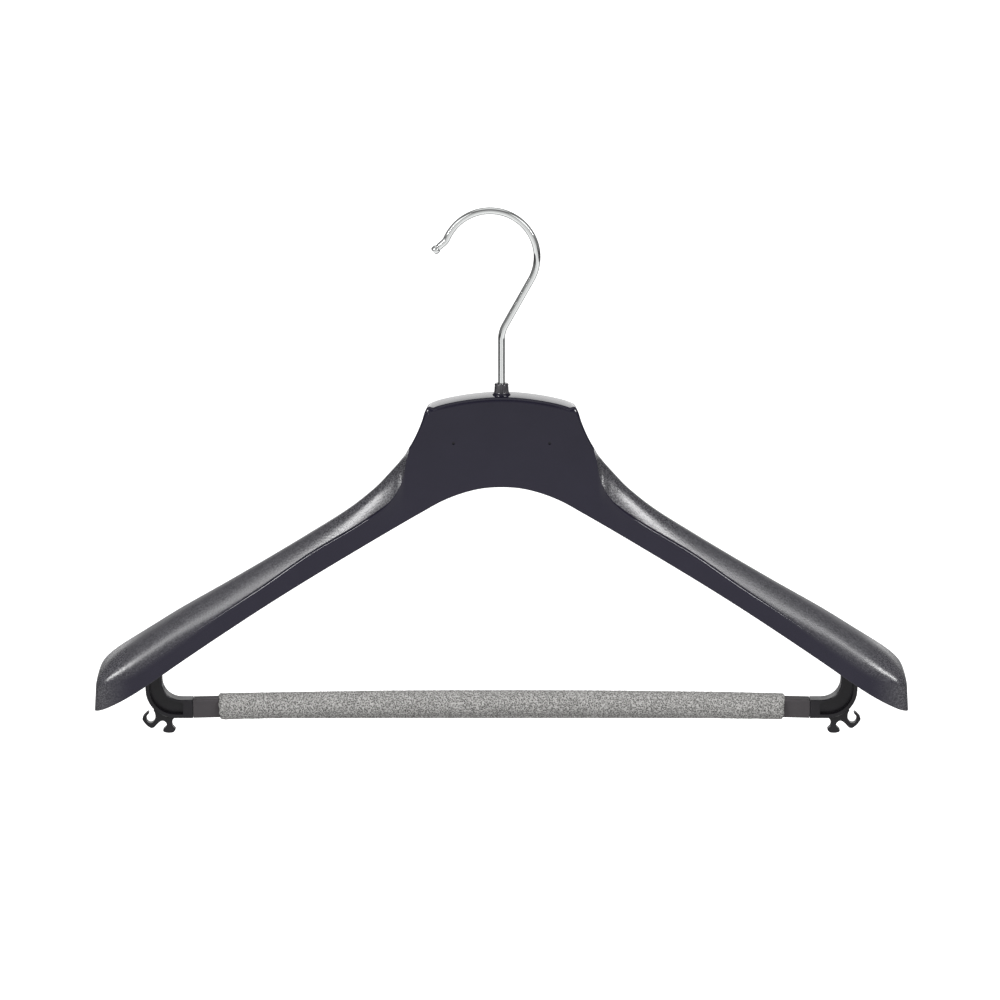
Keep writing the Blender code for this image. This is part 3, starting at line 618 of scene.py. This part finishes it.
def wall_outline(half, bottom, crease, ledge):
    """A wall seen along the arm, from its rounded foot to the groove over its ledge: (out, height)."""
    points = []
    for i in range(ROUND_STEPS + 1):
        a = math.pi / 2 * (1 - i / ROUND_STEPS)
        out = half - EDGE_ROUND + EDGE_ROUND * math.cos(a)
        points.append((out, bottom + EDGE_ROUND * (1 - math.sin(a))))
    low = bottom + 2 * EDGE_ROUND
    tall = crease - 2 * ledge - low
    points += [(half, low + tall * i / WALL_STEPS) for i in range(WALL_STEPS + 1)]
    for i in range(ROUND_STEPS + 1):
        a = math.pi / 2 * i / ROUND_STEPS
        out = half - ledge / 2 * (1 - math.cos(a))
        points.append((out, crease - ledge / 2 * (1 - math.sin(a))))
    points.append((half - GROOVE_INSET_SHARE * ledge, crease - GROOVE * ledge / LEDGE))
    return points


def dome_outline(x, foot, front_crease, back_crease, riser):
    """The dome seen along the arm, from its front foot to its back foot: (depth, height)."""
    share = abs(x) / HALF_WIDTH
    upright = curve_at(UPRIGHT_SHARES, share)
    lift = curve_at(PLATE_LIFT_SHARES, share)
    ridge = back_crease + dome_rise(x)
    points = [(-foot, front_crease + RISER_FOOT_SHARE * riser)]
    for i in range(DOME_STEPS + 1):
        y, rise_share = dome_point(math.pi * i / DOME_STEPS, x, foot, 1.0, upright)
        back_share = (y + foot) / (2 * foot)
        base = front_crease + (back_crease - front_crease) * back_share + riser
        top = ridge + lift * (PLATE_LIFT - PLATE_FALL * back_share)
        points.append((y, base + (top - base) * rise_share))
    points.append((foot, back_crease + RISER_FOOT_SHARE * riser))
    return points


def outer_section(x):
    """One section across the arm: up the front wall, its ledge, over the dome and down the back."""
    share = abs(x) / HALF_WIDTH
    half = half_depth(x)
    middle = plan_middle(x)
    bottom = height_at(UNDERSIDE_SHARES, x)
    front_crease = height_at(FRONT_CREASE_SHARES, x)
    back_crease = height_at(CREASE_SHARES, x)
    ledge = max(LEDGE_LEAST, LEDGE * curve_at(LEDGE_SHARES, share))
    drawn = math.copysign(END_DRAFT * share**END_DRAFT_POWER, x)
    points = []
    for out, z in wall_outline(half, bottom, front_crease, ledge):
        share_up = min(1.0, max(0.0, (z - bottom) / (front_crease - bottom)))
        flare = plan_front(x, share_up) - plan_front(x)
        points.append((x - drawn * share_up, middle - out + flare, z))
    for y, z in dome_outline(x, half - ledge, front_crease, back_crease, RISER * ledge / LEDGE):
        points.append((x - drawn, middle + y, z))
    for out, z in reversed(wall_outline(half, bottom, back_crease, ledge)):
        share_up = min(1.0, max(0.0, (z - bottom) / (back_crease - bottom)))
        points.append((x - drawn * share_up, middle + out, z))
    return points


def cavity_section(x):
    """The hollow's section, a wall's thickness inside the skin and open underneath."""
    half = half_depth(x) - WALL
    middle = plan_middle(x)
    bottom = height_at(UNDERSIDE_SHARES, x) - CUT_PAST
    crease = height_at(CREASE_SHARES, x) - WALL * steepness(CREASE_SHARES, x)
    top = height_at(CREASE_SHARES, x) + dome_rise(x) - WALL * steepness(RIDGE_SHARES, x)
    rise = max(top - crease, WALL / 2)
    points = [(x, middle - half, bottom), (x, middle - half, crease)]
    for i in range(1, CAVITY_DOME_STEPS):
        y, z = dome_point(math.pi * i / CAVITY_DOME_STEPS, x, half, rise, upright=0.0)
        points.append((x, middle + y, crease + z))
    points += [(x, middle + half, crease), (x, middle + half, bottom)]
    return points


def stations(end, step, close_step):
    """Distances from the middle where the arm gets a section, closest where the neck turns down."""
    marks = [0.0]
    round_start = end - END_RADIUS
    while marks[-1] < round_start:
        near = CLOSE_SHARES[0] < marks[-1] / HALF_WIDTH < CLOSE_SHARES[1]
        marks.append(marks[-1] + (close_step if near else step))
    marks[-1] = round_start
    for i in range(1, END_STEPS + 1):
        marks.append(end - END_RADIUS * (1 - math.sin(math.pi * i / (2 * END_STEPS))))
    return marks


def both_arms(section, end, step, close_step):
    """The sections from the left arm's end to the right arm's."""
    right = stations(end, step, close_step)
    return [section(x) for x in [-x for x in reversed(right[1:])] + right]


def loft(name, *solids):
    """One object with a capped solid for each list of rings, whose rings have equally many points."""
    bm = bmesh.new()
    for rings in solids:
        made = [[bm.verts.new(point) for point in ring] for ring in rings]
        count = len(made[0])
        for ring, after in zip(made, made[1:]):
            for i in range(count):
                j = (i + 1) % count
                bm.faces.new((ring[i], ring[j], after[j], after[i]))
        bm.faces.new(made[0])
        bm.faces.new(made[-1])
    bmesh.ops.recalc_face_normals(bm, faces=bm.faces)
    mesh = bpy.data.meshes.new(name)
    bm.to_mesh(mesh)
    bm.free()
    return new_object(name, mesh)


def new_object(name, data):
    """An object with this data, placed in the scene."""
    obj = bpy.data.objects.new(name, data)
    bpy.context.scene.collection.objects.link(obj)
    return obj


def box(low, high):
    """The rings of a box between its lowest and highest corner."""
    corners = ((low[1], low[2]), (high[1], low[2]), (high[1], high[2]), (low[1], high[2]))
    return [[(x, y, z) for y, z in corners] for x in (low[0], high[0])]


def full_turn(count):
    """This many angles, evenly round the turn."""
    return [2 * math.pi * i / count for i in range(count)]


def cylinder(start, axis, diameter, length):
    """The rings of a cylinder that runs this length along its axis."""
    along = Vector(axis)
    side = along.orthogonal().normalized()
    across = along.cross(side)
    turns = full_turn(ROUND_SIDES)
    rings = []
    for step in (0, length):
        centre = Vector(start) + along * step
        rings.append([centre + (side * math.cos(a) + across * math.sin(a)) * diameter / 2 for a in turns])
    return rings


def boolean(obj, other, operation):
    """Adds the other solid or cuts it away, then removes it."""
    modifier = obj.modifiers.new(operation, "BOOLEAN")
    modifier.operation = operation
    modifier.solver = "EXACT"
    modifier.object = other
    graph = bpy.context.evaluated_depsgraph_get()
    made = bpy.data.meshes.new_from_object(obj.evaluated_get(graph))
    obj.modifiers.clear()
    obj.data = made
    bpy.data.objects.remove(other, do_unlink=True)


def tang_top():
    """The height at which an elbow's tang ends inside the arm."""
    return height_at(UNDERSIDE_SHARES, ELBOW_LEG_OUT) + TANG_REACH


def leg_middle():
    """The depth at the middle of an elbow's leg."""
    return plan_middle(ELBOW_LEG_OUT - ELBOW_LEG_WIDTH / 2)


def socket_span():
    """The socket's inner box on the right arm as (left, right, front, back)."""
    outer = ELBOW_LEG_OUT + GAP
    inner = ELBOW_LEG_OUT - ELBOW_LEG_WIDTH - GAP
    depth = BAR_DEPTH / 2 + GAP
    return inner, outer, leg_middle() - depth, leg_middle() + depth


def spine(side):
    """The rib that runs along the arm."""
    start, end = (share * HALF_WIDTH for share in SPINE_SHARES)
    rings = []
    for i in range(SPINE_STEPS + 1):
        x = start + (end - start) * i / SPINE_STEPS
        front, back = plan_middle(x) - RIB / 2, plan_middle(x) + RIB / 2
        low = height_at(UNDERSIDE_SHARES, x) + SPINE_SETBACK
        rings.append([(side * x, y, z) for y, z in ((front, low), (back, low), (back, 0), (front, 0))])
    return rings


def kept_solid():
    """Ribs, spines, boss and sockets, in groups whose solids don't touch one another."""
    ribs = []
    spines = []
    sockets = []
    inner, outer, front, back = socket_span()
    for side in (-1, 1):
        for share in NECK_RIB_SHARES + ARM_RIB_SHARES:
            x = side * share * HALF_WIDTH
            low = (x - RIB / 2, -CUTTER_REACH, height_at(UNDERSIDE_SHARES, x) + RIB_SETBACK)
            ribs.append(box(low, (x + RIB / 2, CUTTER_REACH, 0)))
        spines.append(spine(side))
        xs = sorted((side * (inner - RIB), side * (outer + RIB)))
        low = (xs[0], front - RIB, height_at(UNDERSIDE_SHARES, outer) + SOCKET_SETBACK)
        sockets.append(box(low, (xs[1], back + RIB, 0)))
    boss_low = height_at(RIDGE_SHARES, 0) - BOSS_LENGTH
    boss = cylinder((0, 0, boss_low), (0, 0, 1), BOSS_DIAMETER, BOSS_LENGTH)
    reach = NECK_RIB_SHARES[-1] * HALF_WIDTH
    neck_web = box((-reach, -RIB / 2, boss_low + RIB_SETBACK), (reach, RIB / 2, 0))
    return loft("ribs", *ribs), loft("spines", *spines, neck_web), loft("sockets", *sockets, boss)


def holes():
    """The stem's bore, the sockets' hollows and the pin marks."""
    underside = height_at(UNDERSIDE_SHARES, 0)
    cuts = [cylinder((0, 0, underside), (0, 0, 1), WIRE_DIAMETER + 2 * GAP, -underside)]
    inner, outer, front, back = socket_span()
    across, up = (share * HALF_WIDTH for share in PIN_MARK_SHARES)
    for side in (-1, 1):
        xs = sorted((side * inner, side * outer))
        low = (xs[0], front, height_at(UNDERSIDE_SHARES, HALF_WIDTH))
        cuts.append(box(low, (xs[1], back, tang_top() + GAP)))
        start = (side * across, -NECK_DEPTH / 2 - PIN_MARK_DEPTH, up)
        cuts.append(cylinder(start, (0, 1, 0), PIN_MARK_DIAMETER, 2 * PIN_MARK_DEPTH))
    return cuts


def barb_windows():
    """The openings through each socket's walls, where the tang's barbs snap in."""
    inner, outer, _, _ = socket_span()
    barb_top = tang_top() - BARB_DROP
    depth = BARB_DEPTH / 2 + GAP
    windows = []
    for side in (-1, 1):
        xs = sorted((side * (inner - RIB - GAP), side * (outer + RIB + GAP)))
        low = (xs[0], leg_middle() - depth, barb_top - BARB_HEIGHT - GAP)
        windows.append(box(low, (xs[1], leg_middle() + depth, barb_top + GAP)))
    return windows


def smooth_piece(piece, material):
    """Gives a piece its material and smooth shading, with its corners left sharp."""
    piece.data.materials.append(material)
    piece.data.shade_smooth()
    piece.data.set_sharp_from_angle(angle=SHARP_ANGLE)


def body_moulding(material):
    """The hollow body with a fine skin, rounded edges and the ledge under its shoulders."""
    body = loft("body", both_arms(outer_section, HALF_WIDTH, FINE_STATION, CLOSE_STATION))
    base = height_at(RIDGE_SHARES, 0)
    turns = full_turn(ROUND_SIDES)
    collar = [[(r * math.cos(a), r * math.sin(a), base + up) for a in turns] for r, up in COLLAR_PROFILE]
    boolean(body, loft("collar", collar), "UNION")
    boolean(body, loft("holes", *holes()), "DIFFERENCE")
    boolean(body, loft("barb_windows", *barb_windows()), "DIFFERENCE")
    hollow = both_arms(cavity_section, HALF_WIDTH - WALL, CAVITY_STATION, CAVITY_CLOSE_STATION)
    cavity = loft("cavity", hollow)
    for kept in kept_solid():
        boolean(cavity, kept, "DIFFERENCE")
    boolean(body, cavity, "DIFFERENCE")
    smooth_piece(body, material)
    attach(body, "hanger")
    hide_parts("hanger_body")


def heading(angle):
    """The direction at this angle from +X, in the hook's plane."""
    return Vector((math.cos(angle), 0, math.sin(angle)))


def arc_points(centre, radius, start, end):
    """Points of an arc in the hook's plane, from one angle to another, round a centre as (x, z)."""
    count = max(2, math.ceil(abs(end - start) / WIRE_ARC_STEP))
    angles = [start + (end - start) * i / count for i in range(count + 1)]
    return [Vector((centre[0] + radius * math.cos(a), 0, centre[1] + radius * math.sin(a))) for a in angles]


def hook_path():
    """Centre line of the wire, from the head inside the neck to the tip."""
    head_bottom = height_at(RIDGE_SHARES, 0) - BOSS_LENGTH - HEAD_THICKNESS - WASHER_THICKNESS - 3 * GAP
    inner_radius = ARC_RADIUS - WIRE_DIAMETER / 2
    centre = (ARC_CENTRE_X, -math.sqrt(inner_radius**2 - ARC_CENTRE_X**2))
    crook = arc_points(centre, ARC_RADIUS, LEAN_ANGLE - math.pi / 2, ARC_END_ANGLE)
    # The leaning stretch would meet the stem's axis at this corner, which the bend rounds off
    corner = crook[0] - heading(LEAN_ANGLE) * (crook[0].x / math.cos(LEAN_ANGLE))
    turn = math.pi / 2 - LEAN_ANGLE
    cut = STEM_BEND_RADIUS * math.tan(turn / 2)
    bend = arc_points((STEM_BEND_RADIUS, corner.z - cut), STEM_BEND_RADIUS, math.pi, math.pi - turn)
    tip_centre = crook[-1] + heading(ARC_END_ANGLE) * TIP_BEND_RADIUS
    tip_start = ARC_END_ANGLE + math.pi
    tip_turn = TIP_ANGLE - (ARC_END_ANGLE + math.pi / 2)
    tip_bend = arc_points((tip_centre.x, tip_centre.z), TIP_BEND_RADIUS, tip_start, tip_start + tip_turn)
    tip = tip_bend[-1] + heading(TIP_ANGLE) * TIP_LENGTH
    return [Vector((0, 0, head_bottom)), *bend, *crook[1:], *tip_bend[1:], tip]


def wire_profile(path):
    """The wire as (centre, radius), from its upset head along the path to the bead at its tip."""
    up = Vector((0, 0, 1))
    wire = WIRE_DIAMETER / 2
    head = HEAD_DIAMETER / 2
    rounding = HEAD_THICKNESS / 4
    head_shape = (
        (0, head - rounding), (rounding, head), (HEAD_THICKNESS - rounding, head),
        (HEAD_THICKNESS, head - rounding), (HEAD_THICKNESS + rounding / 4, wire),
    )
    along = (path[-1] - path[-2]).normalized()
    profile = [(path[0] + up * rise, radius) for rise, radius in head_shape]
    profile += [(centre, wire) for centre in path[1:-1]]
    for back, thickness in BEAD_SHAPE_SHARES:
        profile.append((path[-1] - along * back * BEAD_LENGTH, thickness * BEAD_DIAMETER / 2))
    return profile


def hook_wire(material):
    """The bent wire, round and smooth, with its upset head and the bead at its tip."""
    profile = wire_profile(hook_path())
    centres = [centre for centre, _ in profile]
    across = Vector((0, 1, 0))
    turns = full_turn(WIRE_SIDES)
    rings = []
    for i, (centre, radius) in enumerate(profile):
        along = (centres[min(i + 1, len(centres) - 1)] - centres[max(i - 1, 0)]).normalized()
        side = Vector((along.z, 0, -along.x))
        rings.append([centre + (side * math.cos(a) + across * math.sin(a)) * radius for a in turns])
    wire_piece = loft("hook_wire", rings)
    smooth_piece(wire_piece, material)
    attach(wire_piece, "hook")
    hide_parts("hook")


def bar_height(x, middle):
    """Centre of the cambered bar at x, from its height in the middle."""
    return middle - BAR_CAMBER * (x / BAR_SEAM) ** 2


def foam_point(x, angle, radius, half, bar_y, middle):
    """A point of the foam's skin, with its cell, its wave, and its place in the cut end."""
    across, up = math.cos(angle), math.sin(angle)
    end_share = max(0.0, (abs(x) - (half - FOAM_END_ROUND)) / FOAM_END_ROUND)
    rounding = FOAM_END_ROUND * (1 - math.sqrt(max(0.0, 1 - end_share**2)))
    skin = Vector((x, across * radius, up * radius))
    cell = noise.noise((skin + FOAM_SEED) / FOAM_CELL)
    slow = Vector((x, across * FOAM_WAVE_ROUND, up * FOAM_WAVE_ROUND))
    wave = noise.noise((slow + FOAM_SEED) / FOAM_WAVE)
    relief = (cell - 1) * FOAM_CELL_DEPTH + (wave - 1) * FOAM_WAVE_DEPTH
    out = radius + relief - rounding
    ragged = FOAM_END_RAGGED * (noise.noise(Vector((x, across, up)) * FOAM_END_LUMPS + FOAM_SEED) - 1)
    slant = -FOAM_END_SLANT * (1 + up) / 2
    pull = (slant + ragged) * max(0.0, abs(x) / half - FOAM_END_SHARE) / (1 - FOAM_END_SHARE)
    return x + math.copysign(pull, x), bar_y + across * out, bar_height(x, middle) + up * out


def bore_ring(side, half, bar_y, middle):
    """The inner edge of one end, round the bar."""
    wide, tall = BAR_DEPTH / 2 + FOAM_FIT, BAR_HEIGHT / 2 + FOAM_FIT
    x = side * (half - FOAM_END_ROUND)
    ring = []
    for angle in full_turn(FOAM_SIDES):
        across, up = math.cos(angle), math.sin(angle)
        reach = min(wide / max(abs(across), LEAST_COSINE), tall / max(abs(up), LEAST_COSINE))
        ring.append((x, bar_y + across * reach, bar_height(x, middle) + up * reach))
    return ring


def foam_sleeve():
    """The foam tube with its cells, its slight waves and its hand-cut ends."""
    low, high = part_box("foam_sleeve")
    tube_low, tube_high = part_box("bar_tube")
    bar_y = (tube_low.y + tube_high.y) / 2
    radius = (high.y - low.y) / 2
    middle = high.z - radius
    half = high.x
    turns = full_turn(FOAM_SIDES)
    rings = [bore_ring(-1, half, bar_y, middle)]
    for i in range(FOAM_RINGS + 1):
        x = half * (2 * i / FOAM_RINGS - 1)
        rings.append([foam_point(x, angle, radius, half, bar_y, middle) for angle in turns])
    rings.append(bore_ring(1, half, bar_y, middle))
    faces = []
    for i in range(len(rings)):
        here = i * FOAM_SIDES
        after = (i + 1) % len(rings) * FOAM_SIDES
        for k in range(FOAM_SIDES):
            j = (k + 1) % FOAM_SIDES
            faces.append((here + k, here + j, after + j, after + k))
    mesh = bpy.data.meshes.new("foam")
    mesh.from_pydata([point for ring in rings for point in ring], [], faces)
    mesh.validate()
    mesh.shade_smooth()
    foam = new_object("foam", mesh)
    foam.data.materials.append(foam_stuff())
    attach(foam, "hanger")
    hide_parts("foam_sleeve")


def dress(name, material, edge):
    """Gives a rigid piece its material, and rounds its sharp edges by this much."""
    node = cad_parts[name]
    for one in node.material_slots:
        one.material = material
    bevel = node.modifiers.new("edges", "BEVEL")
    bevel.width = edge
    bevel.segments = EDGE_SEGMENTS
    bevel.limit_method = "ANGLE"
    bevel.angle_limit = SHARP_ANGLE


def camera():
    """The photograph's camera, in front of the hanger and looking down a little."""
    data = bpy.data.cameras.new("camera")
    data.sensor_width = SENSOR
    data.lens = CAMERA_DISTANCE / PIXEL * SENSOR / PHOTO_WIDTH
    obj = new_object("camera", data)
    obj.location = (CAMERA_X, -CAMERA_DISTANCE * math.cos(CAMERA_ELEVATION), CAMERA_Z)
    obj.rotation_euler = (math.pi / 2 - CAMERA_ELEVATION, 0, 0)
    bpy.context.scene.camera = obj


def white_world():
    """White to the camera, a dark studio in reflections, and soft light from above on the rest."""
    world = bpy.data.worlds.new("white")
    bpy.context.scene.world = world
    world.use_nodes = True
    tree = Tree(world.node_tree)
    rays = tree.add("LightPath").outputs
    _, y, z = tree.parts(tree.add("TexCoord").outputs["Generated"])

    low = tree.ramp(z, *LOW_EDGE, 1.0, 0.0, smooth=True)
    behind = tree.ramp(y, *BACKDROP_EDGE, smooth=True)
    before = tree.ramp(y, *FRONT_EDGE, smooth=True)
    backdrop = tree.maths("MULTIPLY", tree.maths("MULTIPLY", low, behind), BACKDROP_GLOW)
    front = tree.maths("MULTIPLY", tree.maths("MULTIPLY", low, before), FRONT_GLOW)
    above = tree.ramp(z, *TOP_EDGE, DARK_GLOW, TOP_GLOW, smooth=True)
    studio_light = tree.maths("ADD", tree.maths("ADD", backdrop, front), above)

    seen = tree.maths("ADD", rays["Is Camera Ray"], rays["Is Glossy Ray"], clamp=True)
    seen = tree.maths("ADD", seen, rays["Is Transmission Ray"], clamp=True)
    mirrored = tree.maths("MULTIPLY", seen, studio_light)
    camera_white = tree.maths("MAXIMUM", mirrored, rays["Is Camera Ray"])
    sky = tree.ramp(z, *SKY_EDGE, *SKY_GLOW)
    unseen = tree.maths("MULTIPLY", sky, tree.maths("SUBTRACT", 1.0, seen))
    background = world.node_tree.nodes["Background"].inputs
    background["Color"].default_value = WHITE
    tree.put(background["Strength"], tree.maths("ADD", camera_white, unseen))


def floor_paint():
    """Pale matt floor. In reflections it is dark in places, so that glossy plastic stays dark."""
    material, tree, inputs = new_material("floor")
    place = tree.object_place()
    rays = tree.add("LightPath").outputs
    x, y, _ = tree.parts(place)
    across = tree.maths("ABSOLUTE", x)

    aside = tree.maths("ADD", across, tree.maths("MULTIPLY", tree.maths("MAXIMUM", y, 0.0), SIDES_BEHIND))
    far = tree.ramp(aside, *DARK_SIDES, smooth=True)
    starts_behind = tree.ramp(y, *DARK_BEHIND, 0.0, DARK_SHARE, smooth=True)
    ends_behind = tree.ramp(y, *PALE_BEHIND, smooth=True)
    behind = tree.maths("SUBTRACT", starts_behind, ends_behind, clamp=True)
    under = tree.ramp(tree.length(place), *DARK_UNDER, 0.0, DARK_SHARE, smooth=True)
    dim = tree.maths("MAXIMUM", tree.maths("MAXIMUM", far, under), behind)
    dark = tree.maths("MULTIPLY", dim, rays["Is Glossy Ray"])

    pale = tree.mix(tree.noise(place, size=0.4), *FLOOR_COLOURS)
    tree.put(inputs["Base Color"], tree.mix(dark, pale, FLOOR_DARK_COLOUR))
    inputs["Roughness"].default_value = 0.9
    inputs["Emission Color"].default_value = WHITE
    on_screen = tree.maths("MULTIPLY", rays["Is Camera Ray"], FLOOR_ON_SCREEN)
    bounced = tree.maths("MULTIPLY", rays["Is Diffuse Ray"], FLOOR_BOUNCED)
    glow = tree.ramp(across, *FLOOR_MIRRORED_EDGE, *FLOOR_MIRRORED, smooth=True)
    glow = tree.maths("MULTIPLY", glow, tree.maths("SUBTRACT", 1.0, dark))
    mirrored = tree.maths("MULTIPLY", glow, rays["Is Glossy Ray"])
    strength = tree.maths("ADD", tree.maths("ADD", on_screen, mirrored), bounced)
    tree.put(inputs["Emission Strength"], strength)
    return material


def card_paint():
    """Grey card that looks pale in reflections."""
    material, tree, inputs = new_material("card")
    inputs["Base Color"].default_value = CARD_COLOUR
    inputs["Emission Color"].default_value = WHITE
    glossy = tree.add("LightPath").outputs["Is Glossy Ray"]
    tree.put(inputs["Emission Strength"], tree.maths("MULTIPLY", glossy, CARD_GLOW))
    return material


def staged_sheet(name, corners, material, only_mirrored=False):
    """A flat sheet of the studio, which is no part of the hanger."""
    mesh = bpy.data.meshes.new(name)
    mesh.from_pydata(corners, [], [(0, 1, 2, 3)])
    sheet = new_object(name, mesh)
    sheet.data.materials.append(material)
    sheet.visible_camera = not only_mirrored
    sheet.visible_diffuse = not only_mirrored


def lamp(name, place, target):
    """A rectangular lamp at place that faces target."""
    data = bpy.data.lights.new(name, "AREA")
    data.shape = "RECTANGLE"
    data.size, data.size_y = LAMP_SIZE
    data.energy = LAMP_POWER
    obj = new_object(name, data)
    obj.location = place
    obj.rotation_euler = (Vector(target) - Vector(place)).to_track_quat("-Z", "Y").to_euler()
    obj.visible_camera = False


def on_side(side, place):
    """A place on the right, or its mirror image on the left."""
    return side * place[0], place[1], place[2]


def studio():
    """White surroundings, a pale floor well below the hanging object, and lamps behind cards."""
    bpy.context.scene.view_settings.view_transform = "Standard"
    white_world()
    half = FLOOR_HALF
    outline = ((-half, -half), (half, -half), (half, half), (-half, half))
    staged_sheet("floor", [(x, y, FLOOR_HEIGHT) for x, y in outline], floor_paint())
    paint = card_paint()
    low = [(*edge, CARD_LOW) for edge in (CARD_INNER, CARD_OUTER)]
    high = [(*edge, CARD_HIGH) for edge in (CARD_OUTER, CARD_INNER)]
    for side in (-1, 1):
        corners = [on_side(side, corner) for corner in low + high]
        staged_sheet(f"card_{side}", corners, paint, only_mirrored=True)
        lamp(f"lamp_{side}", on_side(side, LAMP_PLACE), on_side(side, LAMP_TARGET))


body_moulding(body_plastic())
hook_wire(hook_chrome())
dress("hook_washer", washer_steel(), WASHER_EDGE)
elbow_material = elbow_plastic()
dress("bar_end_left", elbow_material, BAR_EDGE)
dress("bar_end_right", elbow_material, BAR_EDGE)
dress("bar_tube", tube_plastic(), BAR_EDGE)
foam_sleeve()
camera()
studio()
